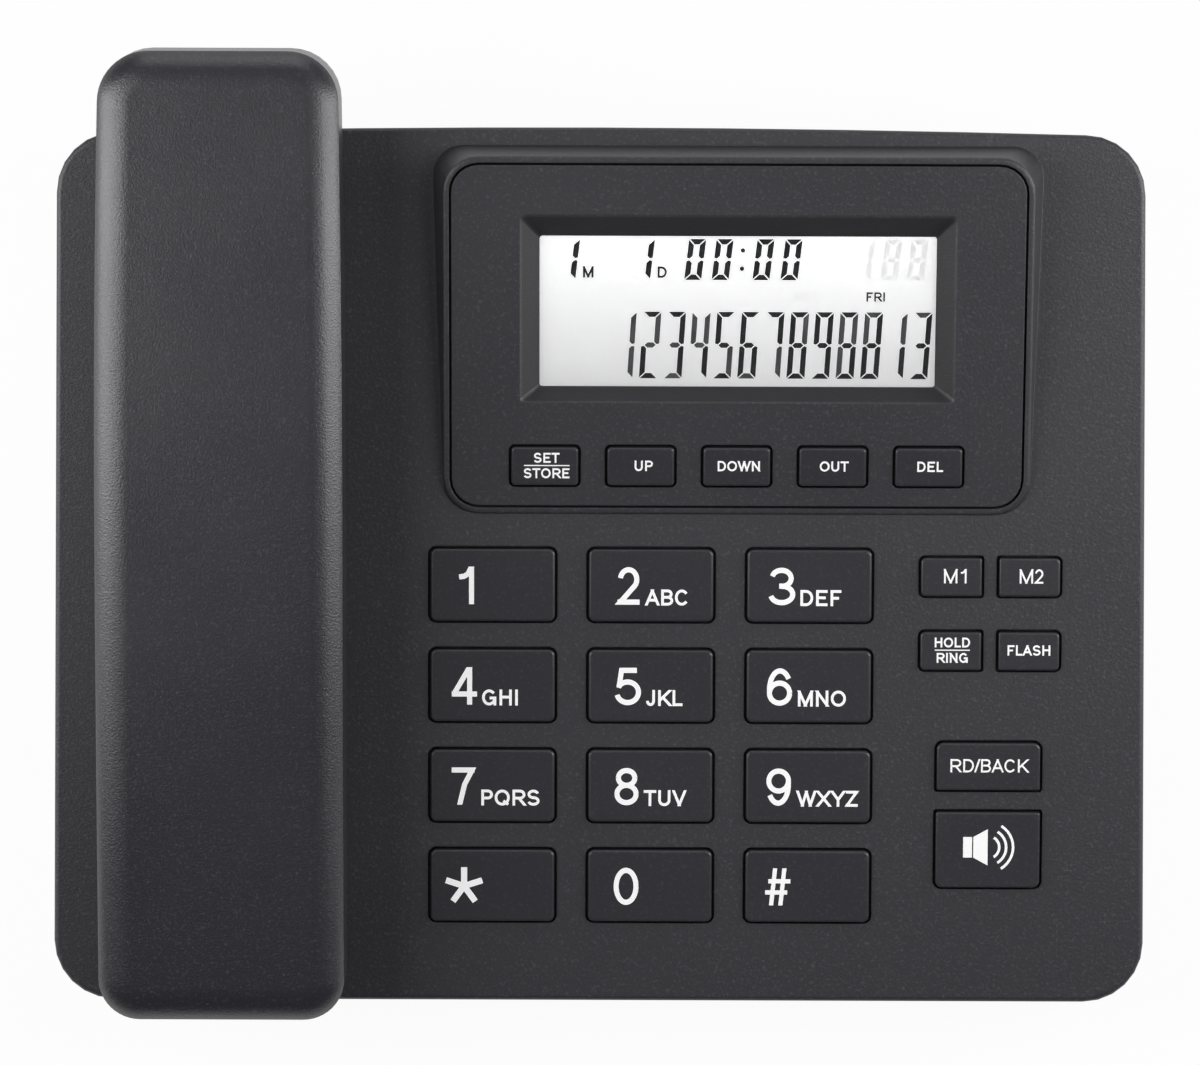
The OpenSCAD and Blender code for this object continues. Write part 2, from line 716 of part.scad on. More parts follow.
module foot_places() {
    for (sx = [-1, 1], y = [front_y + foot_margin, back_y - foot_margin])
        translate([sx * (base_w / 2 - foot_margin), y, 0])
            children();
}

module feet() {
    color(dark)
        foot_places()
            cylinder(h = foot_h + foot_seat, d = foot_d, $fn = round_fn);
}

// pan-head screw with a crossed recess, its head below z = 0
module screw(r, head_r, head_h, reach) {
    difference() {
        union() {
            cylinder(h = reach, r = r, $fn = round_fn);
            translate([0, 0, -head_h])
                cylinder(h = head_h, r = head_r, $fn = round_fn);
        }
        for (a = [0, 90])
            rotate([0, 0, a])
                translate([-head_r * 0.6, -r / 4, -head_h - over])
                    cube([head_r * 1.2, r / 2, head_h / 2 + over]);
    }
}

module base_screws() {
    color(steel)
        for (p = screw_at)
            translate([p[0], p[1], screw_seat])
                screw(screw_r, screw_head_r, screw_head_h, screw_l);
}

module mat_sheet(size, mid, at, plate) {
    translate([mid[0], mid[1], 0])
        prism(size[0], size[1], stud_inset / 2, -board_top(plate), -mat_top(plate));
    for (p = at)
        translate([p[0], p[1], -mat_top(plate)])
            cylinder(h = dome_h, r1 = dome_r, r2 = post_r + dome_skin, $fn = round_fn);
}

module dome_hollows(at, plate) {
    for (p = at)
        translate([p[0], p[1], -board_top(plate)]) {
            cylinder(h = mat_t, r = dome_r - dome_skin, $fn = round_fn);
            translate([0, 0, mat_t])
                cylinder(h = dome_h - dome_skin, r1 = dome_r - dome_skin, r2 = post_r, $fn = round_fn);
        }
}

module dial_mat() {
    color(grey)
        on_deck()
            difference() {
                mat_sheet(board_size - 2 * [mat_inset, mat_inset], board_mid, concat(dial_at, side_at), wall);
                dome_hollows(concat(dial_at, side_at), wall);
                for (p = stud_at)
                    translate([p[0], p[1], -board_top(wall) - over])
                        cylinder(h = mat_t + 2 * over, r = stud_r + hook_gap, $fn = round_fn);
            }
}

// circuit board with its parts on the underside
module board(size, mid, at, plate, parts) {
    difference() {
        union() {
            translate([mid[0], mid[1], 0])
                prism(size[0], size[1], stud_inset / 2, -board_top(plate) - board_t, -board_top(plate));
            for (q = parts)
                translate([mid[0] + q[0], mid[1] + q[1], -board_top(plate) - board_t - q[4]])
                    cube([q[2], q[3], q[4] + board_t / 2]);
        }
        for (p = at)
            translate([p[0], p[1], -board_top(plate) - board_t - over])
                cylinder(h = board_t + 2 * over, r = stud_screw_r + screw_gap, $fn = round_fn);
    }
}

module main_board() {
    color(board_green)
        on_deck()
            board(board_size, board_mid, stud_at, wall, main_parts);
}

module display_board() {
    color(board_green)
        on_panel()
            board(panel_board, [panel_u, panel_v], panel_stud_at, panel_t, panel_parts);
}

module function_mat() {
    size = [4 * function_pitch + 2 * (dome_r + mat_margin), 2 * (dome_r + mat_margin)];
    color(grey)
        on_panel()
            difference() {
                mat_sheet(size, [panel_u, panel_v + function_mid], function_at, panel_t);
                dome_hollows(function_at, panel_t);
            }
}

module board_screws() {
    color(steel) {
        on_deck()
            for (p = stud_at)
                translate([p[0], p[1], -board_top(wall) - board_t])
                    screw(stud_screw_r, stud_head_r, stud_head_h, stud_screw_l + board_t);
        on_panel()
            for (p = panel_stud_at)
                translate([p[0], p[1], -board_top(panel_t) - board_t])
                    screw(stud_screw_r, stud_head_r, stud_head_h, stud_screw_l + board_t);
    }
}

module display_bezel() {
    pane_w = view_w + 2 * pane_lap + 2 * display_gap;
    pane_d = view_d + 2 * pane_lap + 2 * display_gap;
    // the slopes run on below the view, into the pane's pocket
    past = 1 + slab / recess_depth;
    color(black)
        on_panel()
            difference() {
                union() {
                    translate([panel_u, panel_v, 0])
                        prism(
                            panel_w - 2 * panel_gap, panel_d - 2 * panel_gap, panel_r - panel_gap, -panel_t, 0
                        );
                    translate([panel_u, panel_v + (recess_mid + view_mid) / 2, 0])
                        prism(
                            max(recess_w, pane_w) + 2 * frame_t, max(recess_d, pane_d) + 2 * frame_t, frame_t,
                            -pane_end, -panel_t / 2
                        );
                    for (p = panel_stud_at)
                        stud(p[0], p[1], panel_t);
                }
                translate([panel_u, panel_v, 0]) {
                    hull() {
                        translate([0, recess_mid, 0])
                            prism(recess_w, recess_d, 1, 0, over);
                        translate([0, recess_mid + (view_mid - recess_mid) * past, 0])
                            prism(
                                recess_w + (view_w - recess_w) * past, recess_d + (view_d - recess_d) * past, 0.5,
                                -recess_depth * past, -recess_depth
                            );
                    }
                    translate([0, view_mid, 0])
                        prism(pane_w, pane_d, 1, -pane_end - over, -pane_top);
                }
                for (p = function_at)
                    translate(p) {
                        prism(function_w, function_d, function_r, -panel_t - over, over);
                        prism(
                            function_w + 2 * (flange + flange_gap), function_d + 2 * (flange + flange_gap),
                            function_r + flange, -board_top(panel_t), -panel_t - flange_gap / 2
                        );
                    }
                for (p = panel_stud_at)
                    stud_hole(p[0], p[1], panel_t);
            }
}

module display_window() {
    color(glass, 0.4)
        on_panel()
            translate([panel_u, panel_v + view_mid, 0])
                prism(view_w + 2 * pane_lap, view_d + 2 * pane_lap, 1, -pane_end, -pane_top - display_gap);
}

module lcd_module() {
    color(grey)
        on_panel()
            translate([panel_u, panel_v + view_mid, 0])
                prism(
                    view_w + 2 * lcd_lap, view_d + 2 * lcd_lap, 1,
                    display_gap - board_top(panel_t), -pane_end - display_gap
                );
}

// modular socket, its mouth at y = 0 facing +Y, standing on z = 0
module socket(w, h, l, plug_w, plug_h) {
    channel_z = (h - plug_h + latch_d) / 2;
    difference() {
        translate([-w / 2, -l, 0])
            cube([w, l, h]);
        translate([-plug_w / 2, -channel_l, channel_z])
            cube([plug_w, channel_l + over, plug_h]);
        translate([-latch_w / 2, -channel_l, channel_z - latch_d])
            cube([latch_w, channel_l + over, latch_d + over]);
    }
}

module line_jack() {
    color(dark)
        translate([line_x, back_at(line_x) - socket_gap, socket_z])
            socket(line_w, line_h, line_l, line_plug_w, line_plug_h);
}

module handset_jack() {
    color(dark)
        translate([socket_gap - flank_at(jack_y), jack_y, socket_z])
            rotate([0, 0, 90])
                socket(cord_w, cord_h, cord_l, cord_plug_w, cord_plug_h);
}

module handset_socket() {
    color(dark)
        on_deck()
            translate([handset_u, handset_v - handset_l / 2 + socket_gap, socket_mid_w - cord_h / 2])
                rotate([0, 0, 180])
                    socket(cord_w, cord_h, cord_l, cord_plug_w, cord_plug_h);
}

module loudspeaker() {
    basket = speaker_h / 2;
    color(dark)
        translate([speaker_x, speaker_y, floor_z])
            rotate_extrude($fn = round_fn)
                polygon([
                    [0, basket / 2], [magnet_r / 2, basket / 2], [speaker_r - slot_pitch, 0],
                    [speaker_r, 0], [speaker_r, slot_w],
                    [speaker_r - slot_w, slot_w], [magnet_r + slot_w, basket], [magnet_r, basket],
                    [magnet_r, speaker_h], [0, speaker_h]
                ]);
}

module base_microphone() {
    color(steel)
        translate([mic_x, front_y + wall + screw_gap, mic_z])
            rotate([-90, 0, 0])
                cylinder(h = mic_l, r = mic_r, $fn = round_fn);
}

module hook_plunger() {
    color(dark)
        on_deck()
            translate([handset_u, plunger_v, 0]) {
                prism(hook_w, hook_d, 0.8, hook_stop - hook_flange_t / 2, plunger_top);
                prism(
                    hook_w + 2 * hook_flange, hook_d + 2 * hook_flange, 1, hook_stop - hook_flange_t, hook_stop
                );
                prism(stem_w, stem_w, 0.5, stem_end, hook_stop - hook_flange_t / 2);
            }
}

module hook_switch() {
    color(dark)
        on_deck()
            translate([handset_u, plunger_v, 0])
                prism(switch_w, switch_d, 0.5, switch_top - switch_h, switch_top);
}

// disc whose upper edge rounds over by an angle, for hulls
module puck(r, h, f, turn) {
    rotate_extrude($fn = hull_fn)
        polygon(concat(
            [[0, 0], [r, 0]],
            [for (i = [round_n : -1 : 0]) [
                r - f * sin(turn) + f * sin(turn * i / round_n), h - f + f * cos(turn * i / round_n)
            ]],
            [[0, h]]
        ));
}

// arched back of the handset above z0, drawn in by inset
module crown(inset, z0) {
    hull()
        for (s = [-1, 1], t = [-1 : 0.5 : 1])
            translate([s * corner_mid(t)[0], corner_mid(t)[1], z0])
                puck(corner_at(t) - inset, crown_at(t) - inset - z0, crown_r - inset, crown_turn);
}

// underside of the grip, drawn in by inset
module grip(inset, top) {
    hull()
        for (s = [-1, 1], t = [-1, 0, 0.5, 1])
            translate([s * corner_mid(t)[0], corner_mid(t)[1], top])
                mirror([0, 0, 1])
                    puck(corner_at(t) - inset, top - grip_w - inset, grip_r - inset, 90);
}

module pad(l) {
    hull() {
        prism(pad_w, l, pad_r, pad_z + pad_edge, grip_w + handset_wall / 2);
        prism(pad_w - 2 * pad_edge, l - 2 * pad_edge, pad_r - pad_edge, pad_z, pad_z + pad_edge);
    }
}

module pad_hollow(l) {
    prism(
        pad_w - 2 * handset_wall, l - 2 * handset_wall, pad_r - handset_wall, pad_z + handset_wall, grip_floor + slab
    );
}

module on_handset() {
    on_deck()
        translate([handset_u, handset_v, 0])
            children();
}

module socket_mouth() {
    translate([0, cord_l / 2 - handset_l / 2 - over, handset_joint])
        cube([cord_w + 2 * socket_gap, cord_l + 2 * over, cord_h + 2 * socket_gap], center = true);
}

module handset_top() {
    color(black)
        on_handset()
            difference() {
                union() {
                    difference() {
                        crown(0, handset_joint);
                        crown(handset_wall, handset_joint - over);
                    }
                    for (v = handset_screw_v)
                        translate([0, v, handset_joint])
                            cylinder(
                                h = crown_at(v / (handset_l / 2 - handset_r)) - handset_wall / 2 - handset_joint,
                                r = column_r - wall / 2, $fn = round_fn
                            );
                }
                for (v = handset_screw_v)
                    translate([0, v, handset_joint - over])
                        cylinder(
                            h = handset_seat + handset_screw_l + hook_gap - handset_joint + over,
                            r = screw_r + screw_gap, $fn = round_fn
                        );
                socket_mouth();
            }
}

// floor of a pad's holes: one in the middle and a ring of six round it
module ear_holes() {
    for (i = [0:6])
        rotate([0, 0, i * 60])
            translate([i == 6 ? 0 : hole_ring, 0, pad_z - over])
                cylinder(h = handset_wall + 2 * over, r = hole_r, $fn = round_fn);
}

module capsule_ring(r) {
    translate([0, 0, pad_z + handset_wall / 2])
        difference() {
            cylinder(h = ring_h + handset_wall / 2, r = r + capsule_gap + ring_t, $fn = round_fn);
            translate([0, 0, handset_wall / 2])
                cylinder(h = ring_h + over, r = r + capsule_gap, $fn = round_fn);
        }
}

module handset_bottom() {
    ear_at = ear_v - handset_v;
    mouth_at = mouth_v - handset_v;
    color(black)
        on_handset()
            difference() {
                union() {
                    difference() {
                        union() {
                            grip(0, handset_joint);
                            translate([0, ear_at, 0])
                                pad(ear_l);
                            translate([0, mouth_at, 0])
                                pad(mouth_l);
                        }
                        grip(handset_wall, handset_joint + over);
                        translate([0, ear_at, 0])
                            pad_hollow(ear_l);
                        translate([0, mouth_at, 0])
                            pad_hollow(mouth_l);
                    }
                    translate([0, ear_at, 0])
                        capsule_ring(ear_r);
                    translate([0, mouth_at, 0])
                        capsule_ring(voice_r);
                    for (v = handset_screw_v)
                        translate([0, v, grip_w + handset_wall / 2])
                            cylinder(h = handset_joint - grip_w - handset_wall / 2, r = column_r, $fn = round_fn);
                }
                translate([0, ear_at, 0])
                    ear_holes();
                translate([0, mouth_at, pad_z - over])
                    cylinder(h = handset_wall + 2 * over, r = hole_r, $fn = round_fn);
                for (v = handset_screw_v)
                    translate([0, v, 0]) {
                        translate([0, 0, grip_w - over])
                            cylinder(h = handset_seat - grip_w + over, r = screw_head_r + hook_gap, $fn = round_fn);
                        translate([0, 0, grip_w])
                            cylinder(h = handset_joint - grip_w + over, r = screw_r + screw_gap, $fn = round_fn);
                    }
                socket_mouth();
            }
}

module capsule(v, r, h) {
    on_deck()
        translate([handset_u, v, pad_z + handset_wall + screw_gap])
            cylinder(h = h, r = r, $fn = round_fn);
}

module ear_speaker() {
    color(dark)
        capsule(ear_v, ear_r, ear_h);
}

module handset_microphone() {
    color(steel)
        capsule(mouth_v, voice_r, voice_h);
}

module handset_weight() {
    mid = (handset_screw_v[0] + handset_screw_v[1]) / 2;
    color(steel)
        on_handset()
            translate([0, mid, 0])
                prism(weight_w, weight_l, 1, grip_floor + screw_gap, grip_floor + screw_gap + weight_h);
}

module handset_screws() {
    color(steel)
        on_handset()
            for (v = handset_screw_v)
                translate([0, v, handset_seat])
                    screw(screw_r, screw_head_r, screw_head_h, handset_screw_l);
}

// key in its opening, with a hollow cap, a flange under the plate and a post
module key(w, d, r, rise, plate) {
    cap_w = w - 2 * key_gap;
    cap_d = d - 2 * key_gap;
    cap_r = corners(r, key_gap);
    hollow = 2 * (key_gap + flange);
    difference() {
        union() {
            hull() {
                prism(cap_w, cap_d, cap_r, -flange_end(plate), rise - key_edge);
                prism(cap_w - 2 * key_edge, cap_d - 2 * key_edge, cap_r, rise - key_edge, rise);
            }
            prism(w + 2 * flange, d + 2 * flange, corners(r, -flange), -flange_end(plate), -plate - flange_gap);
        }
        prism(cap_w - hollow, cap_d - hollow, cap_r, -flange_end(plate) - over, rise - key_top_t);
    }
    translate([0, 0, -post_end(plate)])
        cylinder(h = post_end(plate) + rise - key_top_t / 2, r = post_r, $fn = round_fn);
}

module dial_key(i) {
    color(dark)
        on_deck()
            translate(dial_at[i])
                key(dial_w, dial_d, dial_r, key_rise, wall);
}

module side_key(i) {
    color(dark)
        on_deck()
            translate(side_at[i])
                key(side_size[i][0], side_size[i][1], side_size[i][2], key_rise, wall);
}

module function_key(i) {
    color(dark)
        on_panel()
            translate(function_at[i])
                key(function_w, function_d, function_r, function_rise, panel_t);
}

base_bottom();
base_top();
feet();
base_screws();
main_board();
dial_mat();
display_bezel();
display_window();
lcd_module();
display_board();
function_mat();
board_screws();
line_jack();
handset_jack();
loudspeaker();
base_microphone();
hook_switch();
hook_plunger();
handset_top();
handset_bottom();
ear_speaker();
handset_microphone();
handset_weight();
handset_socket();
handset_screws();
for (i = [0:11])
    dial_key(i);
for (i = [0:4])
    function_key(i);
for (i = [0:5])
    side_key(i);
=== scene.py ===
# Corded desk telephone with a caller display and hands-free speaker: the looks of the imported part.
import json
import math
import random

import bmesh
import bpy
from mathutils import Matrix, Vector


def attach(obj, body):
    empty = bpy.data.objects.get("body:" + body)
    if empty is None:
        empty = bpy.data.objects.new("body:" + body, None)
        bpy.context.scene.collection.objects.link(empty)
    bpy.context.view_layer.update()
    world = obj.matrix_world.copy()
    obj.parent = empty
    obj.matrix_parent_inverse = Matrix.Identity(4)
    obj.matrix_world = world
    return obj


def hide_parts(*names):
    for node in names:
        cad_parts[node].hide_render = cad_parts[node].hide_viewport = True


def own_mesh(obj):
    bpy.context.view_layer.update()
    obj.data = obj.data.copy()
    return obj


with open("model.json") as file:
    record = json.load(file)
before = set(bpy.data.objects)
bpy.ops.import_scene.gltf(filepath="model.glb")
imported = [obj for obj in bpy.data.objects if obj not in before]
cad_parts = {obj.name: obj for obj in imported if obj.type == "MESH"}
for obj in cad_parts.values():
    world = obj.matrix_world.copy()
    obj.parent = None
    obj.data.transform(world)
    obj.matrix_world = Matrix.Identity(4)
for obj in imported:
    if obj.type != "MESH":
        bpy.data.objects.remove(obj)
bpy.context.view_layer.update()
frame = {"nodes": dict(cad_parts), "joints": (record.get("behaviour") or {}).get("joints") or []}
scene = bpy.context.scene
scene.view_settings.view_transform = "Standard"


# STUDIO
# The camera hangs 1.25 m over the desk and looks straight down, rolled by a fifth of a degree.
# Long soft strips stand at the left and right and a shorter one behind; nothing lights the front.
# The floor is white paper that shows white to the camera and still takes the object's shadow.
def linear(colour):
    """An sRGB hex colour as the linear RGBA that a shader takes."""
    parts = [int(colour[i:i + 2], 16) / 255 for i in (1, 3, 5)]
    return [c / 12.92 if c <= 0.04045 else ((c + 0.055) / 1.055) ** 2.4 for c in parts] + [1]


def add(tree, kind, settings=None, links=None):
    """One node with its settings; each link is a socket, a list of sockets or a plain value."""
    node = tree.nodes.new(kind)
    for name, value in (settings or {}).items():
        setattr(node, name, value)
    for name, value in (links or {}).items():
        several = isinstance(value, list) and isinstance(value[0], bpy.types.NodeSocket)
        for source in value if several else [value]:
            if isinstance(source, bpy.types.NodeSocket):
                tree.links.new(source, node.inputs[name])
            else:
                node.inputs[name].default_value = source
    return node


camera = bpy.data.objects.new("camera", bpy.data.cameras.new("camera"))
camera.data.sensor_width = 36
camera.data.lens = 181.52
camera.location = (0, 0.0012, 1.25)
camera.rotation_euler = (0, 0, math.radians(0.2))
scene.collection.objects.link(camera)
scene.camera = camera

for name, place, size, watts in (
    ("left_box", (-0.42, 0.05, 0.32), (0.27, 0.58), 2.17),
    ("right_box", (0.46, 0.07, 0.32), (0.22, 0.80), 2.87),
    ("back_strip", (0.0, 0.78, 0.40), (0.5, 0.5), 1.15),
):
    lamp = bpy.data.lights.new(name, "AREA")
    lamp.shape = "RECTANGLE"
    lamp.size, lamp.size_y = size
    lamp.energy = watts
    strip = bpy.data.objects.new(name, lamp)
    strip.location = place
    strip.rotation_euler = (-Vector(place)).to_track_quat("-Z", "Y").to_euler()
    scene.collection.objects.link(strip)

room = bpy.data.worlds.new("grey_room")
room.use_nodes = True
room.node_tree.nodes["Background"].inputs["Color"].default_value = linear("#57575A")
scene.world = room

paper = bpy.data.materials.new("paper_matt_white")
paper.use_nodes = True
tree = paper.node_tree
tree.nodes.clear()
white_share, floor_half = 0.95, 4.0
ray = add(tree, "ShaderNodeLightPath")
seen = add(tree, "ShaderNodeMath", {"operation": "MAXIMUM"},
           {0: ray.outputs["Is Camera Ray"], 1: ray.outputs["Is Glossy Ray"]})
seen = add(tree, "ShaderNodeMath", {"operation": "MAXIMUM"},
           {0: seen.outputs[0], 1: ray.outputs["Is Transmission Ray"]})
share = add(tree, "ShaderNodeMath", {"operation": "MULTIPLY"}, {0: seen.outputs[0], 1: white_share})
sheet = add(tree, "ShaderNodeBsdfDiffuse", {}, {"Color": linear("#F4F4F4")})
glow = add(tree, "ShaderNodeEmission", {}, {"Color": linear("#FFFFFF"), "Strength": 1.0})
mixed = add(tree, "ShaderNodeMixShader", {}, {0: share.outputs[0], 1: sheet.outputs[0], 2: glow.outputs[0]})
add(tree, "ShaderNodeOutputMaterial", {}, {"Surface": mixed.outputs[0]})
floor_mesh = bpy.data.meshes.new("floor")
floor_mesh.from_pydata([(-floor_half, -floor_half, 0), (floor_half, -floor_half, 0),
                        (floor_half, floor_half, 0), (-floor_half, floor_half, 0)], [], [(0, 1, 2, 3)])
floor_mesh.materials.append(paper)
floor = bpy.data.objects.new("floor", floor_mesh)
scene.collection.objects.link(floor)


# BASE HOUSINGS
# Two black ABS mouldings: the sloped deck with its display pod, and the tapered tray under it.
# They lock on a lip and are screwed from underneath; spark-eroded moulds leave a fine matt grain.
def moulded_abs(name, colour, fleck, grit, rough, depth):
    """Moulded ABS: grit is the grain's width and depth its relief, in metres."""
    worn_edge, handled, speck, wander = 0.0003, 0.04, 0.0006, 0.03
    material = bpy.data.materials.new(name)
    material.use_nodes = True
    tree = material.node_tree
    shader = tree.nodes["Principled BSDF"]
    # ABS has an IOR of about 1.53; a little more gives the sheen of this one
    shader.inputs["IOR"].default_value = 1.6
    place = add(tree, "ShaderNodeTexCoord").outputs["Object"]
    grain = add(tree, "ShaderNodeTexNoise", {},
                {"Vector": place, "Scale": 1 / grit, "Detail": 2.0, "Roughness": 0.6})
    edge = add(tree, "ShaderNodeBevel", {"samples": 4}, {"Radius": worn_edge})
    relief = add(tree, "ShaderNodeBump", {}, {
        "Strength": 0.5, "Distance": depth, "Height": grain.outputs["Fac"], "Normal": edge.outputs[0]})
    tree.links.new(relief.outputs[0], shader.inputs["Normal"])
    handling = add(tree, "ShaderNodeTexNoise", {}, {"Vector": place, "Scale": 1 / handled, "Detail": 3.0})
    gloss = add(tree, "ShaderNodeMapRange", {}, {
        "Value": handling.outputs["Fac"], "From Min": 0.3, "From Max": 0.7,
        "To Min": rough - wander, "To Max": rough + wander})
    tree.links.new(gloss.outputs[0], shader.inputs["Roughness"])
    specks = add(tree, "ShaderNodeTexNoise", {}, {"Vector": place, "Scale": 1 / speck, "Detail": 1.0})
    picked = add(tree, "ShaderNodeMapRange", {}, {
        "Value": specks.outputs["Fac"], "From Min": 0.56, "From Max": 0.80, "To Min": 0.0, "To Max": 1.0})
    tone = add(tree, "ShaderNodeMix", {"data_type": "RGBA"},
               {0: picked.outputs[0], 6: linear(colour), 7: linear(fleck)})
    tree.links.new(tone.outputs[2], shader.inputs["Base Color"])
    return material


# The grain is about 0.1 mm on the real moulding; it is drawn at 0.5 mm, which the render can show.
abs_spark_black = moulded_abs("abs_spark_eroded_black", "#313035", "#49484D",
                              grit=0.0005, rough=0.46, depth=0.00012)

# A CAD node is loose triangles, so its shading is joined and kept sharp over 28 degrees.
weld, sharp_turn = 0.000002, math.radians(28)
moulded_shading = bpy.data.node_groups.new("moulded_shading", "GeometryNodeTree")
moulded_shading.interface.new_socket("Geometry", in_out="INPUT", socket_type="NodeSocketGeometry")
moulded_shading.interface.new_socket("Geometry", in_out="OUTPUT", socket_type="NodeSocketGeometry")
given = add(moulded_shading, "NodeGroupInput")
welded = add(moulded_shading, "GeometryNodeMergeByDistance", {},
             {"Geometry": given.outputs[0], "Distance": weld})
turn = add(moulded_shading, "GeometryNodeInputMeshEdgeAngle")
sharp = add(moulded_shading, "FunctionNodeCompare", {"data_type": "FLOAT", "operation": "GREATER_THAN"},
            {0: turn.outputs["Unsigned Angle"], 1: sharp_turn})
shaded = add(moulded_shading, "GeometryNodeSetMeshNormal", {"mode": "SHARPNESS"},
             {"Mesh": welded.outputs[0], "Remove Custom": True, "Edge Sharpness": sharp.outputs[0]})
add(moulded_shading, "NodeGroupOutput", {}, {0: shaded.outputs[0]})


def dress(node, material):
    """Gives a CAD node its material and its moulded shading."""
    part = frame["nodes"][node]
    part.data.materials.clear()
    part.data.materials.append(material)
    part.modifiers.new("moulded_shading", "NODES").node_group = moulded_shading
    part.modifiers.new("face_weight", "WEIGHTED_NORMAL").keep_sharp = True


dress("base_top", abs_spark_black)
dress("base_bottom", abs_spark_black)


# FEET AND SCREWS
# Four rubber feet pressed into recesses of the tray, and zinc-plated cross-head screws beside them.
# The same steel screws, smaller, hold the boards and close the handset.
def plain_material(name, colour, rough, ior=1.5, metallic=0.0):
    """A material with one colour, ready for its pattern nodes."""
    material = bpy.data.materials.new(name)
    material.use_nodes = True
    shader = material.node_tree.nodes["Principled BSDF"]
    shader.inputs["Base Color"].default_value = linear(colour)
    shader.inputs["Roughness"].default_value = rough
    shader.inputs["IOR"].default_value = ior
    shader.inputs["Metallic"].default_value = metallic
    return material, material.node_tree, shader


def cloudy_tone(tree, shader, width, detail, one, other):
    """Lets the colour wander between two tones, in clouds of this width in metres."""
    place = add(tree, "ShaderNodeTexCoord").outputs["Object"]
    cloud = add(tree, "ShaderNodeTexNoise", {}, {"Vector": place, "Scale": 1 / width, "Detail": detail})
    tone = add(tree, "ShaderNodeMix", {"data_type": "RGBA"},
               {0: cloud.outputs["Fac"], 6: linear(one), 7: linear(other)})
    tree.links.new(tone.outputs[2], shader.inputs["Base Color"])
    return cloud.outputs["Fac"]


def cloudy_gloss(tree, shader, width, detail, smooth, rough, start=0.0, stop=1.0):
    """Lets the roughness wander between two values, in clouds of this width in metres."""
    place = add(tree, "ShaderNodeTexCoord").outputs["Object"]
    cloud = add(tree, "ShaderNodeTexNoise", {}, {"Vector": place, "Scale": 1 / width, "Detail": detail})
    gloss = add(tree, "ShaderNodeMapRange", {}, {
        "Value": cloud.outputs["Fac"], "From Min": start, "From Max": stop,
        "To Min": smooth, "To Max": rough})
    tree.links.new(gloss.outputs[0], shader.inputs["Roughness"])


# Moulded rubber is dull and slightly mottled by handling.
foot_rubber, tree, shader = plain_material("rubber_moulded_grey", "#3A3A3B", rough=0.82, ior=1.52)
mottle = cloudy_tone(tree, shader, width=0.002, detail=3.0, one="#2C2C2D", other="#47474A")
pores = add(tree, "ShaderNodeBump", {}, {"Strength": 0.3, "Distance": 0.0001, "Height": mottle})
tree.links.new(pores.outputs[0], shader.inputs["Normal"])
dress("feet", foot_rubber)

# Zinc plating gives a bright, faintly blue steel with cloudy gloss.
screw_steel, tree, shader = plain_material("steel_zinc_plated", "#B9BCC2", rough=0.35, metallic=1.0)
cloudy_gloss(tree, shader, width=0.0008, detail=2.0, smooth=0.22, rough=0.5)
for node in ("base_screws", "board_screws", "handset_screws"):
    dress(node, screw_steel)


# BOARDS
# Two glass-fibre boards under the keys, coated with green solder mask over copper tracks.
# They hang on posts of the deck and of the display frame.
# The mask is an even green lacquer that turns paler over the copper.
board_mask, tree, shader = plain_material("glass_fibre_solder_mask", "#1F5B38", rough=0.4)
place = add(tree, "ShaderNodeTexCoord").outputs["Object"]
tracks = add(tree, "ShaderNodeTexBrick", {"offset": 0.35}, {
    "Vector": place, "Scale": 1 / 0.012, "Mortar Size": 0.02,
    "Color1": linear("#1F5B38"), "Color2": linear("#1C5333"), "Mortar": linear("#3E8A52")})
tree.links.new(tracks.outputs["Color"], shader.inputs["Base Color"])
dress("main_board", board_mask)
dress("display_board", board_mask)


# RUBBER MATS
# Silicone mats lie on the boards, with one hollow dome under each key that springs it back.
# The sheet stays flat; each dome is a piece of its own.
def leaned(node, tilt):
    """Lowest and highest (u, v, w) of a CAD node along a plane tilted about X through the origin."""
    level = Matrix.Rotation(-tilt, 3, "X")
    points = [level @ v.co for v in frame["nodes"][node].data.vertices]
    lowest = Vector(min(p[i] for p in points) for i in range(3))
    return lowest, Vector(max(p[i] for p in points) for i in range(3))


def piece(name, mesh, material, body, nodes=()):
    """A finished piece with its material that rides a body and may stand for CAD nodes."""
    mesh.materials.clear()
    mesh.materials.append(material)
    made = bpy.data.objects.new(name, mesh)
    scene.collection.objects.link(made)
    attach(made, body)
    if nodes:
        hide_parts(*nodes)
    return made


def start_tree(name, sizes):
    """A Geometry Nodes tree with these sizes as inputs, and the sockets that give them."""
    tree = bpy.data.node_groups.new(name, "GeometryNodeTree")
    tree.interface.new_socket("Geometry", in_out="OUTPUT", socket_type="NodeSocketGeometry")
    for size in sizes:
        tree.interface.new_socket(size, in_out="INPUT", socket_type="NodeSocketFloat")
    return tree, add(tree, "NodeGroupInput").outputs


def end_tree(tree, geometry, material):
    """Ends a tree in real geometry with its material."""
    real = add(tree, "GeometryNodeRealizeInstances", {}, {"Geometry": geometry})
    coated = add(tree, "GeometryNodeSetMaterial", {}, {"Geometry": real.outputs[0], "Material": material})
    add(tree, "NodeGroupOutput", {}, {0: coated.outputs[0]})


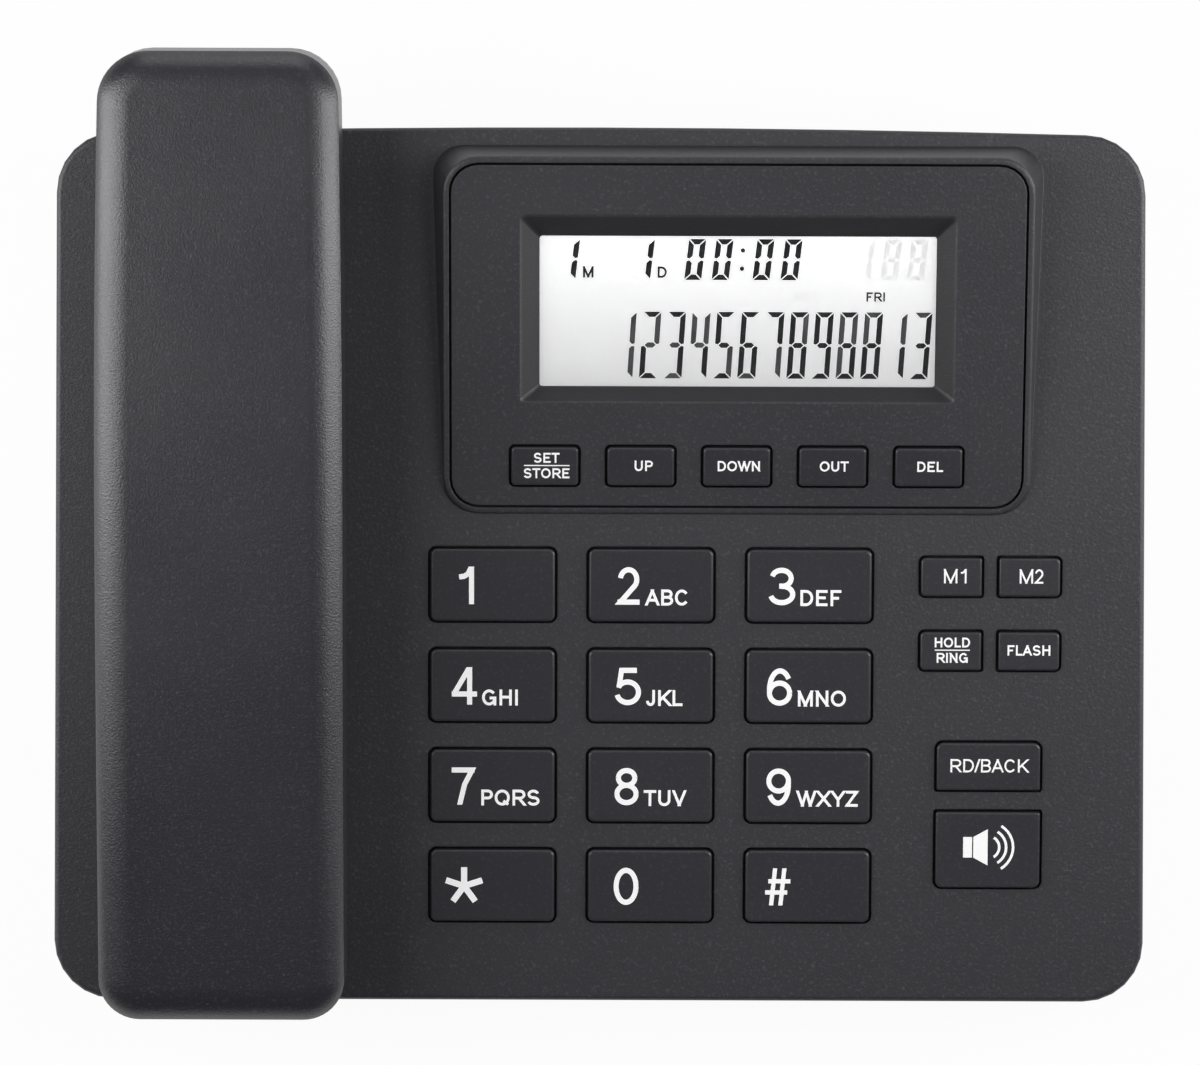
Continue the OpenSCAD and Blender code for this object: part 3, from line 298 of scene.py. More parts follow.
def grown(name, tree, sizes, round_edge=0.0):
    """The plain mesh that a tree makes with these sizes, its edges over 50 degrees rounded."""
    carrier = bpy.data.objects.new(name, bpy.data.meshes.new(name))
    scene.collection.objects.link(carrier)
    maker = carrier.modifiers.new("maker", "NODES")
    maker.node_group = tree
    for item in tree.interface.items_tree:
        if item.in_out == "INPUT" and item.name in sizes:
            maker[item.identifier] = sizes[item.name]
    if round_edge:
        bevel = carrier.modifiers.new("edges", "BEVEL")
        bevel.width = round_edge
        bevel.segments = 3
        bevel.limit_method = "ANGLE"
        bevel.angle_limit = math.radians(50)
        bevel.harden_normals = True
    mesh = bpy.data.meshes.new_from_object(carrier.evaluated_get(bpy.context.evaluated_depsgraph_get()))
    bpy.data.objects.remove(carrier)
    return mesh


press = {j["name"]: Vector(j["axis"]) for j in frame["joints"] if j["name"].endswith("_press")}
deck_tilt = math.asin(press["key_5_press"].y)
panel_tilt = math.asin(press["key_up_press"].y)
dial_keys = ["key_" + sign for sign in ("1", "2", "3", "4", "5", "6", "7", "8", "9", "star", "0", "hash")]
side_keys = ["key_" + sign for sign in ("m1", "m2", "hold", "flash", "redial", "speaker")]
panel_keys = ["key_" + sign for sign in ("set", "up", "down", "out", "del")]

# Silicone is milky and soft to the eye, with a dull sheen.
mat_silicone, tree, shader = plain_material("silicone_moulded_grey", "#8C8F90", rough=0.6, ior=1.41)
cloudy_tone(tree, shader, width=0.006, detail=2.0, one="#808485", other="#999C9D")

mat_thick, mat_corner = 0.001, 0.002
dome_high, dome_foot, dome_crown, dome_edge = 0.003, 0.004, 0.0034, 0.0006
dome_tree, size = start_tree("spring_dome", ("Foot Radius", "Crown Radius", "Height"))
cone = add(dome_tree, "GeometryNodeMeshCone", {}, {
    "Vertices": 24, "Radius Bottom": size["Foot Radius"], "Radius Top": size["Crown Radius"],
    "Depth": size["Height"]})
smooth = add(dome_tree, "GeometryNodeSetShadeSmooth", {}, {"Geometry": cone.outputs["Mesh"]})
end_tree(dome_tree, smooth.outputs[0], mat_silicone)
for node, tilt, keys in (
    ("dial_mat", deck_tilt, dial_keys + side_keys),
    ("function_mat", panel_tilt, panel_keys),
):
    low, high = leaned(node, tilt)
    stand = Matrix.Rotation(tilt, 4, "X")
    middle = Vector(((low.x + high.x) / 2, (low.y + high.y) / 2, low.z + mat_thick / 2))
    sheet = bmesh.new()
    bmesh.ops.create_cube(sheet, size=1, matrix=stand @ Matrix.Translation(middle)
                          @ Matrix.Diagonal((high.x - low.x, high.y - low.y, mat_thick, 1)))
    upright = [e for e in sheet.edges if abs((e.verts[0].co - e.verts[1].co).normalized().z) > 0.9]
    bmesh.ops.bevel(sheet, geom=upright, offset=mat_corner, segments=4, affect="EDGES")
    mesh = bpy.data.meshes.new(node + "_sheet")
    sheet.to_mesh(mesh)
    piece(node + "_sheet", mesh, mat_silicone, "base", [node])
    for key in keys:
        key_low, key_high = leaned(key, tilt)
        foot = Vector(((key_low.x + key_high.x) / 2, (key_low.y + key_high.y) / 2, low.z + mat_thick))
        mesh = grown("dome_" + key, dome_tree,
                     {"Foot Radius": dome_foot, "Crown Radius": dome_crown, "Height": dome_high}, dome_edge)
        mesh.transform(stand @ Matrix.Translation(foot))
        dome = piece("dome_" + key, mesh, mat_silicone, "base")
        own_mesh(dome)


# KEYS
# ABS caps with a flange under the deck and a post on the mat's dome, 23 in all.
# They are finer and a little smoother than the housing, with edges rounded by 0.5 mm.
abs_key_black = moulded_abs("abs_fine_satin_black", "#302F34", "#3F3E44",
                            grit=0.0004, rough=0.34, depth=0.00003)
key_edge, cap_high, flange_out, flange_thick, post_radius = 0.0005, 0.0036, 0.0013, 0.001, 0.0026

corner_names = ("Back Right", "Back Left", "Front Left", "Front Right")
rounded_slab, size = start_tree("rounded_slab", ("Width", "Depth", *corner_names, "Bottom", "Top"))
plan = add(rounded_slab, "GeometryNodeCurvePrimitiveQuadrilateral", {"mode": "RECTANGLE"},
           {"Width": size["Width"], "Height": size["Depth"]})
corner = add(rounded_slab, "GeometryNodeIndexSwitch", {"data_type": "FLOAT"})
corner.index_switch_items.new()
corner.index_switch_items.new()
rounded_slab.links.new(add(rounded_slab, "GeometryNodeInputIndex").outputs[0], corner.inputs["Index"])
for i, name in enumerate(corner_names):
    rounded_slab.links.new(size[name], corner.inputs[str(i)])
arcs = add(rounded_slab, "GeometryNodeFilletCurve", {"mode": "POLY"},
           {"Curve": plan.outputs[0], "Count": 6, "Radius": corner.outputs[0]})
face = add(rounded_slab, "GeometryNodeFillCurve", {"mode": "NGONS"}, {"Curve": arcs.outputs[0]})
low = add(rounded_slab, "ShaderNodeCombineXYZ", {}, {"Z": size["Bottom"]})
seat = add(rounded_slab, "GeometryNodeSetPosition", {},
           {"Geometry": face.outputs[0], "Offset": low.outputs[0]})
rise = add(rounded_slab, "ShaderNodeMath", {"operation": "SUBTRACT"}, {0: size["Top"], 1: size["Bottom"]})
wall = add(rounded_slab, "GeometryNodeExtrudeMesh", {"mode": "FACES"}, {
    "Mesh": seat.outputs[0], "Offset": (0, 0, 1), "Offset Scale": rise.outputs[0], "Individual": False})
under = add(rounded_slab, "GeometryNodeFlipFaces", {}, {"Mesh": seat.outputs[0]})
both = add(rounded_slab, "GeometryNodeJoinGeometry", {}, {0: [wall.outputs["Mesh"], under.outputs[0]]})
closed = add(rounded_slab, "GeometryNodeMergeByDistance", {},
             {"Geometry": both.outputs[0], "Distance": weld})
add(rounded_slab, "NodeGroupOutput", {}, {0: closed.outputs[0]})

key_cap, size = start_tree("key_cap", ("Width", "Depth", *corner_names, "Cap Height", "Flange",
                                       "Flange Thickness", "Post Radius", "Post End"))
shoulder = add(key_cap, "ShaderNodeMath", {"operation": "MULTIPLY"}, {0: size["Cap Height"], 1: -1.0})
slim = {name: size[name] for name in ("Width", "Depth", *corner_names)}
cap = add(key_cap, "GeometryNodeGroup", {"node_tree": rounded_slab},
          {**slim, "Bottom": shoulder.outputs[0], "Top": 0.0})
twice = add(key_cap, "ShaderNodeMath", {"operation": "MULTIPLY"}, {0: size["Flange"], 1: 2.0})
wide = {}
for name, given in slim.items():
    more = size["Flange"] if name in corner_names else twice.outputs[0]
    wide[name] = add(key_cap, "ShaderNodeMath", {"operation": "ADD"}, {0: given, 1: more}).outputs[0]
brim = add(key_cap, "ShaderNodeMath", {"operation": "SUBTRACT"},
           {0: shoulder.outputs[0], 1: size["Flange Thickness"]})
flange = add(key_cap, "GeometryNodeGroup", {"node_tree": rounded_slab},
             {**wide, "Bottom": brim.outputs[0], "Top": shoulder.outputs[0]})
post_long = add(key_cap, "ShaderNodeMath", {"operation": "SUBTRACT"},
                {0: brim.outputs[0], 1: size["Post End"]})
post = add(key_cap, "GeometryNodeMeshCylinder", {},
           {"Vertices": 24, "Radius": size["Post Radius"], "Depth": post_long.outputs[0]})
half = add(key_cap, "ShaderNodeMath", {"operation": "MULTIPLY_ADD"},
           {0: post_long.outputs[0], 1: 0.5, 2: size["Post End"]})
post_at = add(key_cap, "ShaderNodeCombineXYZ", {}, {"Z": half.outputs[0]})
post_set = add(key_cap, "GeometryNodeTransform", {},
               {"Geometry": post.outputs["Mesh"], "Translation": post_at.outputs[0]})
whole = add(key_cap, "GeometryNodeJoinGeometry", {},
            {0: [cap.outputs[0], flange.outputs[0], post_set.outputs[0]]})
smooth = add(key_cap, "GeometryNodeSetShadeSmooth", {}, {"Geometry": whole.outputs[0]})
end_tree(key_cap, smooth.outputs[0], abs_key_black)

# corner radii run from the back right corner to the left and round
dial_corners = (0.0012,) * 4
panel_corners = (0.0007,) * 4
side_corners = {
    "key_m1": (0.0004, 0.0009, 0.0009, 0.0004), "key_hold": (0.0004, 0.0009, 0.0009, 0.0004),
    "key_m2": (0.0009, 0.0004, 0.0004, 0.0009), "key_flash": (0.0009, 0.0004, 0.0004, 0.0009),
    "key_redial": (0.0013, 0.0013, 0.0004, 0.0004), "key_speaker": (0.0004, 0.0004, 0.0013, 0.0013),
}
key_top = {}
for keys, tilt in ((dial_keys + side_keys, deck_tilt), (panel_keys, panel_tilt)):
    for key in keys:
        low, high = leaned(key, tilt)
        corners = side_corners.get(key, panel_corners if key in panel_keys else dial_corners)
        mesh = grown(key + "_cap", key_cap, {
            "Width": high.x - low.x - 2 * flange_out, "Depth": high.y - low.y - 2 * flange_out,
            **dict(zip(corner_names, corners)),
            "Cap Height": cap_high, "Flange": flange_out, "Flange Thickness": flange_thick,
            "Post Radius": post_radius, "Post End": low.z - high.z}, key_edge)
        top = ((low.x + high.x) / 2, (low.y + high.y) / 2, high.z)
        key_top[key] = Matrix.Rotation(tilt, 4, "X") @ Matrix.Translation(top)
        mesh.transform(key_top[key])
        piece(key + "_cap", mesh, abs_key_black, key, [key])


# KEY LETTERING
# Digits, letters and signs pad-printed on the caps in white ink, 0.02 mm thick.
# Only generic telephone lettering: digits with their letters, and the words for what a key does.
def pen_stroke(path, left, right, half):
    """Outline of one pen stroke of a letter that fills the box from left to right and from 0 to 1.

    The path runs in a unit box through points and through arcs, which give their middle,
    their two reaches and the angles they start and stop at."""
    arc_step, shortest, mitre_least, steep, level = 10, 1e-6, 0.4, 0.35, 0.01
    spots = []
    for step in path:
        if len(step) == 2:
            spots.append(Vector(step))
            continue
        x, y, wide, tall, start, stop = step
        count = math.ceil(abs(stop - start) / arc_step)
        turns = [math.radians(start + (stop - start) * i / count) for i in range(count + 1)]
        spots += [Vector((x + wide * math.cos(t), y + tall * math.sin(t))) for t in turns]
    ends = (spots[0], spots[-1])
    room = right - left - 2 * half
    spots = [Vector((left + half + p.x * room, half + p.y * (1 - 2 * half))) for p in spots]
    spots = [p for i, p in enumerate(spots) if i == 0 or (p - spots[i - 1]).length > shortest]
    ways = [(spots[i + 1] - spots[i]).normalized() for i in range(len(spots) - 1)]
    sides = ([], [])
    for i, spot in enumerate(spots):
        before, after = ways[max(i - 1, 0)], ways[min(i, len(ways) - 1)]
        aside = Vector((-before.y - after.y, before.x + after.x)).normalized()
        reach = half / max(aside.dot(Vector((-after.y, after.x))), mitre_least)
        for side, sign in zip(sides, (1, -1)):
            edge = spot + aside * reach * sign
            if i in (0, len(spots) - 1):
                end = ends[0] if i == 0 else ends[1]
                if end.y in (0, 1) and abs(after.y) > steep:
                    edge += after * ((end.y - edge.y) / after.y)
                elif end.x in (0, 1) and abs(after.y) < level:
                    edge += after * half * (-1 if i == 0 else 1)
            side.append(edge)
    return sides[0] + sides[1][::-1]


def lettering(words, high, weight):
    """Lettering from x = 0 on its baseline, with capitals of this height, as thin plates.

    The weight is the pen's width as a share of the height."""
    outlines, at = [], 0.0
    for letter in words:
        left, right, advance, strokes = alphabet[letter]
        for path in strokes:
            outline = pen_stroke(path, at + left / cap_units, at + right / cap_units, weight / 2)
            outlines.append([(p.x * high * letter_narrow, p.y * high) for p in outline])
        at += advance / cap_units
    shift = min(x for outline in outlines for x, y in outline)
    return stamped([[(x - shift, y) for x, y in outline] for outline in outlines], ink_thick)


def oval(x, y, wide, tall):
    """A closed oval in two half turns."""
    return [[(x, y, wide, tall, 0, 180)], [(x, y, wide, tall, 180, 360)]]


# a plain grotesque alphabet: left edge, right edge and advance in 718ths of a capital's height, and strokes
cap_units, letter_narrow, ink_thick = 718, 0.96, 0.00002
bowl = (0.58, 0.73, 0.42, 0.27, 90, -90)
round_o = oval(0.5, 0.5, 0.5, 0.5)
alphabet = {
    "A": (14, 654, 667, [[(0, 0), (0.5, 1)], [(0.5, 1), (1, 0)], [(0.19, 0.3), (0.81, 0.3)]]),
    "B": (74, 627, 667, [[(0, 0), (0, 1), (0.56, 1), (0.56, 0.76, 0.38, 0.24, 90, -90), (0, 0.52)],
                         [(0.3, 0.52), (0.55, 0.52), (0.55, 0.26, 0.45, 0.26, 90, -90), (0, 0)]]),
    "C": (44, 681, 722, [[(0.5, 0.5, 0.5, 0.5, 36, 324)]]),
    "D": (81, 674, 722, [[(0, 0), (0, 1), (0.42, 1), (0.42, 0.5, 0.58, 0.5, 90, -90), (0, 0)]]),
    "E": (86, 616, 667, [[(1, 1), (0, 1), (0, 0), (1, 0)], [(0, 0.52), (0.94, 0.52)]]),
    "F": (86, 583, 611, [[(1, 1), (0, 1), (0, 0)], [(0, 0.49), (0.88, 0.49)]]),
    "G": (48, 704, 778, [[(0.5, 0.5, 0.5, 0.5, 38, 342)], [(0.54, 0.46), (1, 0.46), (1, 0)]]),
    "H": (77, 646, 722, [[(0, 0), (0, 1)], [(1, 0), (1, 1)], [(0, 0.53), (1, 0.53)]]),
    "I": (91, 191, 278, [[(0.5, 0), (0.5, 1)]]),
    "J": (17, 428, 500, [[(1, 1), (1, 0.28), (0.5, 0.28, 0.5, 0.28, 0, -180)]]),
    "K": (76, 663, 667, [[(0, 0), (0, 1)], [(0.95, 1), (0, 0.3)], [(0.33, 0.56), (1, 0)]]),
    "L": (76, 537, 556, [[(0, 1), (0, 0), (1, 0)]]),
    "M": (73, 761, 833, [[(0, 0), (0, 1)], [(0, 1), (0.5, 0)], [(0.5, 0), (1, 1)], [(1, 1), (1, 0)]]),
    "N": (76, 646, 722, [[(0, 0), (0, 1)], [(0, 1), (1, 0)], [(1, 0), (1, 1)]]),
    "O": (39, 739, 778, round_o),
    "P": (86, 622, 667, [[(0, 0), (0, 1), (0.58, 1), bowl, (0, 0.46)]]),
    "Q": (39, 739, 778, round_o + [[(0.6, 0.26), (0.98, -0.03)]]),
    "R": (88, 684, 722, [[(0, 0), (0, 1), (0.58, 1), bowl, (0, 0.46)], [(0.5, 0.46), (1, 0)]]),
    "S": (49, 620, 667, [[(0.5, 0.75, 0.46, 0.25, 15, 270), (0.5, 0.25, 0.5, 0.25, 90, -165)]]),
    "T": (14, 597, 611, [[(0, 1), (1, 1)], [(0.5, 1), (0.5, 0)]]),
    "U": (79, 644, 722, [[(0, 1), (0, 0.34), (0.5, 0.34, 0.5, 0.34, 180, 360), (1, 1)]]),
    "V": (20, 647, 667, [[(0, 1), (0.5, 0)], [(0.5, 0), (1, 1)]]),
    "W": (16, 928, 944, [[(0, 1), (0.27, 0)], [(0.27, 0), (0.5, 1)], [(0.5, 1), (0.73, 0)],
                         [(0.73, 0), (1, 1)]]),
    "X": (19, 648, 667, [[(0, 0), (1, 1)], [(0, 1), (1, 0)]]),
    "Y": (14, 653, 667, [[(0, 1), (0.5, 0.42)], [(1, 1), (0.5, 0.42)], [(0.5, 0.46), (0.5, 0)]]),
    "Z": (29, 582, 611, [[(0, 1), (1, 1)], [(1, 1), (0, 0)], [(0, 0), (1, 0)]]),
    "/": (-17, 295, 278, [[(0, 0), (1, 1)]]),
    "#": (28, 529, 556, [[(0.2, 0), (0.36, 1)], [(0.64, 0), (0.8, 1)], [(0, 0.33), (0.95, 0.33)],
                         [(0.05, 0.67), (1, 0.67)]]),
    "0": (32, 526, 556, round_o),
    "1": (62, 405, 556, [[(1, 0), (1, 1)], [(0, 0.76), (0.4, 0.78), (0.72, 0.86), (0.9, 1)]]),
    "2": (26, 462, 556, [[(0.5, 0.7, 0.48, 0.3, 172, -38), (0.02, 0)], [(0, 0), (1, 0)]]),
    "3": (28, 546, 556, [[(0.47, 0.75, 0.45, 0.25, 165, -90)],
                         [(0.36, 0.51), (0.48, 0.255, 0.52, 0.255, 90, -168)]]),
    "4": (25, 523, 556, [[(0.76, 0), (0.76, 1)], [(0.68, 1), (0, 0.27)], [(0, 0.25), (1, 0.25)]]),
    "5": (26, 546, 556, [[(0.92, 1), (0.2, 1), (0.08, 0.46)], [(0.49, 0.32, 0.51, 0.32, 150, -165)]]),
    "6": (34, 532, 556, oval(0.5, 0.31, 0.5, 0.31) + [[(0.52, 0.42, 0.52, 0.58, 35, 180), (0, 0.3)]]),
    "7": (50, 502, 556, [[(0, 1), (1, 1)], [(1, 1), (0.58, 0.55), (0.34, 0)]]),
    "8": (38, 517, 556, oval(0.5, 0.77, 0.43, 0.23) + oval(0.5, 0.27, 0.5, 0.27)),
    "9": (38, 526, 556, oval(0.5, 0.69, 0.5, 0.31) + [[(0.48, 0.58, 0.52, 0.58, 215, 360), (1, 0.7)]]),
}


def across(mesh):
    """How far a mesh reaches along x."""
    return max(v.co.x for v in mesh.vertices)


def stamped(outlines, thick):
    """Thin plates over flat outlines, as one mesh standing on z = 0."""
    form = bmesh.new()
    for i, outline in enumerate(outlines):
        face = form.faces.new([form.verts.new((x, y, 0)) for x, y in outline])
        face.normal_update()
        if face.normal.z < 0:
            face.normal_flip()
        top = bmesh.ops.extrude_face_region(form, geom=[face], use_keep_orig=True)
        raised = [v for v in top["geom"] if isinstance(v, bmesh.types.BMVert)]
        # plates that cross lie at slightly different heights
        bmesh.ops.translate(form, vec=(0, 0, thick * (1 + i % 5 / 8)), verts=raised)
    bmesh.ops.recalc_face_normals(form, faces=form.faces)
    mesh = bpy.data.meshes.new("stamped")
    form.to_mesh(mesh)
    return mesh


def joined(name, parts):
    """One mesh of several, each with its place."""
    form = bmesh.new()
    for mesh, place in parts:
        mesh.transform(place)
        form.from_mesh(mesh)
    whole = bpy.data.meshes.new(name)
    form.to_mesh(whole)
    return whole


# Pad-print ink lies thin and even, white with a slight break-up, and glows faintly: painted light that lifts
# it brighter than the lamps make it.
glowing_print_white, tree, shader = plain_material("ink_pad_printed_white_painted_glow", "#F6F6F4", rough=0.5)
shader.inputs["Emission Color"].default_value = linear("#FFFFFF")
# painted light: the ink glows though it is no lamp
shader.inputs["Emission Strength"].default_value = 0.2
cloudy_tone(tree, shader, width=0.0006, detail=2.0, one="#FFFFFF", other="#EDEDEB")

# digit, its left edge from the cap's middle and the letters after it
digit_high, digit_base, letter_high, letter_base, letter_gap = 0.0076, -0.00385, 0.00325, -0.0040, 0.00103
digit_pen, sign_pen, letter_pen = 0.138, 0.115, 0.172
digit_print = {
    "key_1": ("1", -0.0068, ""), "key_2": ("2", -0.0073, "ABC"), "key_3": ("3", -0.0082, "DEF"),
    "key_4": ("4", -0.0082, "GHI"), "key_5": ("5", -0.0072, "JKL"), "key_6": ("6", -0.0084, "MNO"),
    "key_7": ("7", -0.0082, "PQRS"), "key_8": ("8", -0.0072, "TUV"), "key_9": ("9", -0.0084, "WXYZ"),
    "key_0": ("0", -0.0073, ""), "key_hash": ("#", -0.0085, ""),
}
for key, (digit, left, letters) in digit_print.items():
    big = lettering(digit, digit_high, sign_pen if digit == "#" else digit_pen)
    after = left + across(big) + letter_gap
    parts = [(big, Matrix.Translation((left, digit_base, 0)))]
    if letters:
        small = lettering(letters, letter_high, letter_pen)
        parts.append((small, Matrix.Translation((after, letter_base, 0))))
    mesh = joined("print_" + key, parts)
    mesh.transform(key_top[key])
    piece("print_" + key, mesh, glowing_print_white, key)

# the star is five spokes of even width
star_at, star_reach, star_half = Vector((-0.0057, -0.0001)), 0.00385, 0.00062
spokes = []
for i in range(5):
    turn = math.radians(90 + 72 * i)
    along = Vector((math.cos(turn), math.sin(turn)))
    aside, tip = Vector((-along.y, along.x)) * star_half, star_at + along * star_reach
    spokes.append([star_at + aside, star_at - aside, tip - aside, tip + aside])
mesh = stamped(spokes, ink_thick)
mesh.transform(key_top["key_star"])
piece("print_key_star", mesh, glowing_print_white, "key_star")

# words: first line, second line under a rule, height and shift to the right
word_print = {
    "key_m1": ("M1", "", 0.0029, 0.0007), "key_m2": ("M2", "", 0.0029, 0.0003),
    "key_hold": ("HOLD", "RING", 0.0020, 0.0003), "key_flash": ("FLASH", "", 0.0021, 0.0),
    "key_redial": ("RD/BACK", "", 0.0027, 0.0003), "key_set": ("SET", "STORE", 0.00205, 0.0004),
    "key_up": ("UP", "", 0.00215, 0.0006), "key_down": ("DOWN", "", 0.0021, 0.0005),
    "key_out": ("OUT", "", 0.0021, 0.0003), "key_del": ("DEL", "", 0.0021, 0.0003),
}
rule_half, rule_gap, word_rise, word_pen = 0.00011, 0.00045, 0.00025, 0.00037
for key, (upper, lower, high, shift) in word_print.items():
    first = lettering(upper, high, word_pen / high)
    if lower:
        second = lettering(lower, high, word_pen / high)
        reach = max(across(first), across(second)) / 2
        bar = [(-reach, -rule_half), (reach, -rule_half), (reach, rule_half), (-reach, rule_half)]
        above, below = rule_half + rule_gap, -rule_half - rule_gap - high
        parts = [(first, Matrix.Translation((-across(first) / 2, above, 0))),
                 (stamped([bar], ink_thick), Matrix.Identity(4)),
                 (second, Matrix.Translation((-across(second) / 2, below, 0)))]
    else:
        parts = [(first, Matrix.Translation((-across(first) / 2, -high / 2, 0)))]
    mesh = joined("print_" + key, parts)
    mesh.transform(key_top[key] @ Matrix.Translation((shift, word_rise, 0)))
    piece("print_" + key, mesh, glowing_print_white, key)

# hands-free sign: a box, a flared horn and three arcs of sound, each arc a row of short plates
sign_box = [(-0.00515, -0.0021), (-0.00335, -0.0021), (-0.00335, 0.0021), (-0.00515, 0.0021)]
sign_horn = [(-0.0031, -0.0021), (-0.0002, -0.0037), (-0.0002, 0.0037), (-0.0031, 0.0021)]
sound_from, sound_spread, sound_thick, sound_steps = Vector((-0.0002, 0)), 58, 0.00052, 12
sign_shift = (0.0002, 0.0006, 0)
angles = [math.radians(sound_spread * (i / sound_steps * 2 - 1)) for i in range(sound_steps + 1)]
ways = [Vector((math.cos(a), math.sin(a))) for a in angles]
arcs = []
for reach in (0.0026, 0.0040, 0.0054):
    outer = [sound_from + way * reach for way in ways]
    inner = [sound_from + way * (reach - sound_thick) for way in ways]
    arcs += [[outer[i], outer[i + 1], inner[i + 1], inner[i]] for i in range(sound_steps)]
mesh = joined("print_key_speaker", [(stamped([sign_box, sign_horn], ink_thick), Matrix.Identity(4)),
                                    (stamped(arcs, ink_thick), Matrix.Identity(4))])
mesh.transform(key_top["key_speaker"] @ Matrix.Translation(sign_shift))
piece("print_key_speaker", mesh, glowing_print_white, "key_speaker")


# DISPLAY
# A black ABS panel with a bevelled recess, an acrylic pane behind it and a liquid-crystal cell under that.
# The cell's front is a pale polariser that glows with painted light; lit segments are dark, resting ones
# faint.
low, high = leaned("display_bezel", panel_tilt)
rim_top, rim_end, recess_rough = high.z - 0.0002, high.z - 0.0005, 0.5
# The face is grained and flecked with grey like the housing; the recess is plainer, and painted darker as
# painted shade in the hollow.
abs_panel_black = moulded_abs("abs_spark_black_painted_recess_shade", "#313035", "#49484D",
                              grit=0.0005, rough=0.46, depth=0.00012)
tree = abs_panel_black.node_tree
shader = tree.nodes["Principled BSDF"]
face_tone = shader.inputs["Base Color"].links[0].from_socket
face_rough = shader.inputs["Roughness"].links[0].from_socket
place = add(tree, "ShaderNodeTexCoord").outputs["Object"]
upright = add(tree, "ShaderNodeVectorRotate", {"rotation_type": "X_AXIS"},
              {"Vector": place, "Angle": -panel_tilt})
rise = add(tree, "ShaderNodeSeparateXYZ", {}, {"Vector": upright.outputs[0]})
# painted shade: below the face the recess takes a darker colour
recess_painted_shade = add(tree, "ShaderNodeMapRange", {}, {
    "Value": rise.outputs["Z"], "From Min": rim_end, "From Max": rim_top, "To Min": 1.0, "To Max": 0.0})
tone = add(tree, "ShaderNodeMix", {"data_type": "RGBA"},
           {0: recess_painted_shade.outputs[0], 6: face_tone, 7: linear("#19181C")})
tree.links.new(tone.outputs[2], shader.inputs["Base Color"])
gloss = add(tree, "ShaderNodeMix", {"data_type": "FLOAT"},
            {0: recess_painted_shade.outputs[0], 2: face_rough, 3: recess_rough})
tree.links.new(gloss.outputs[0], shader.inputs["Roughness"])
dress("display_bezel", abs_panel_black)

# Cast acrylic is clear and glossy, with hardly any colour of its own; handling dulls it slightly in places.
acrylic_clear, tree, shader = plain_material("acrylic_cast_clear", "#FFFFFF", rough=0.03, ior=1.49)
shader.inputs["Transmission Weight"].default_value = 1.0
cloudy_gloss(tree, shader, width=0.012, detail=3.0, smooth=0.02, rough=0.05, start=0.4, stop=0.7)
dress("display_window", acrylic_clear)

# The cell's edge is cut glass over a grey carrier.
cell_glass, tree, shader = plain_material("glass_cell_grey", "#B7BAB8", rough=0.25, ior=1.52)
cloudy_tone(tree, shader, width=0.004, detail=1.0, one="#AEB1AF", other="#C3C6C4")
dress("lcd_module", cell_glass)

low, high = leaned("lcd_module", panel_tilt)
stand = Matrix.Rotation(panel_tilt, 4, "X")
cell_mid = Vector(((low.x + high.x) / 2, (low.y + high.y) / 2, high.z))
cell_lift, cell_margin, print_lift, painted_glow = 0.00004, 0.0005, 0.00003, 0.62
# The polariser is matt and near white; it glows with painted light, and is painted darker towards the front
# as painted shade.
polariser, tree, shader = plain_material("polariser_matt_white_painted_glow", "#FFFFFF", rough=0.6, ior=1.49)
place = add(tree, "ShaderNodeTexCoord").outputs["Object"]
depth = add(tree, "ShaderNodeSeparateXYZ", {}, {"Vector": place})
shaded_end, bright_end = (stand @ cell_mid).y - 0.015, (stand @ cell_mid).y + 0.012
# painted shade: the polariser's colour and glow fall off towards the front
painted_front_shade = add(tree, "ShaderNodeMapRange", {}, {
    "Value": depth.outputs["Y"], "From Min": shaded_end, "From Max": bright_end, "To Min": 0.0, "To Max": 1.0})
tone = add(tree, "ShaderNodeMix", {"data_type": "RGBA"},
           {0: painted_front_shade.outputs[0], 6: linear("#D2D2D2"), 7: linear("#FFFFFF")})
tree.links.new(tone.outputs[2], shader.inputs["Base Color"])
tree.links.new(tone.outputs[2], shader.inputs["Emission Color"])
shader.inputs["Emission Strength"].default_value = painted_glow
half_w, half_d = (high.x - low.x) / 2 - cell_margin, (high.y - low.y) / 2 - cell_margin
mesh = stamped([[(-half_w, -half_d), (half_w, -half_d), (half_w, half_d), (-half_w, half_d)]], cell_lift)
mesh.transform(stand @ Matrix.Translation(cell_mid))
piece("lcd_polariser", mesh, polariser, "base")


def digit_segments(marks, at, wide, tall, stroke, slant):
    """Outlines of a slanted seven-segment figure's marks, its lower left corner at (x, y), in metres."""
    gap, mid, s = stroke * 0.16, tall / 2, stroke
    left = [(0, tall - gap), (s, tall - s - gap), (s, mid + s / 2 + gap), (s / 2, mid + gap),
            (0, mid + gap * 2)]
    shapes = {
        "a": [(gap, tall), (wide - gap, tall), (wide - s - gap, tall - s), (s + gap, tall - s)],
        "d": [(gap, 0), (s + gap, s), (wide - s - gap, s), (wide - gap, 0)],
        "g": [(s / 2 + gap, mid), (s + gap, mid + s / 2), (wide - s - gap, mid + s / 2),
              (wide - s / 2 - gap, mid), (wide - s - gap, mid - s / 2), (s + gap, mid - s / 2)],
        "f": left,
        "b": [(wide - x, y) for x, y in left],
        "e": [(x, tall - y) for x, y in left],
        "c": [(wide - x, tall - y) for x, y in left],
    }
    return [[(at[0] + x + slant * y, at[1] + y) for x, y in shapes[m]] for m in marks]


figures = {"0": "abcdef", "1": "bc", "2": "abged", "3": "abgcd", "4": "fgbc", "5": "afgcd",
           "6": "afgedc", "7": "abc", "8": "abcdefg", "9": "abcdfg"}
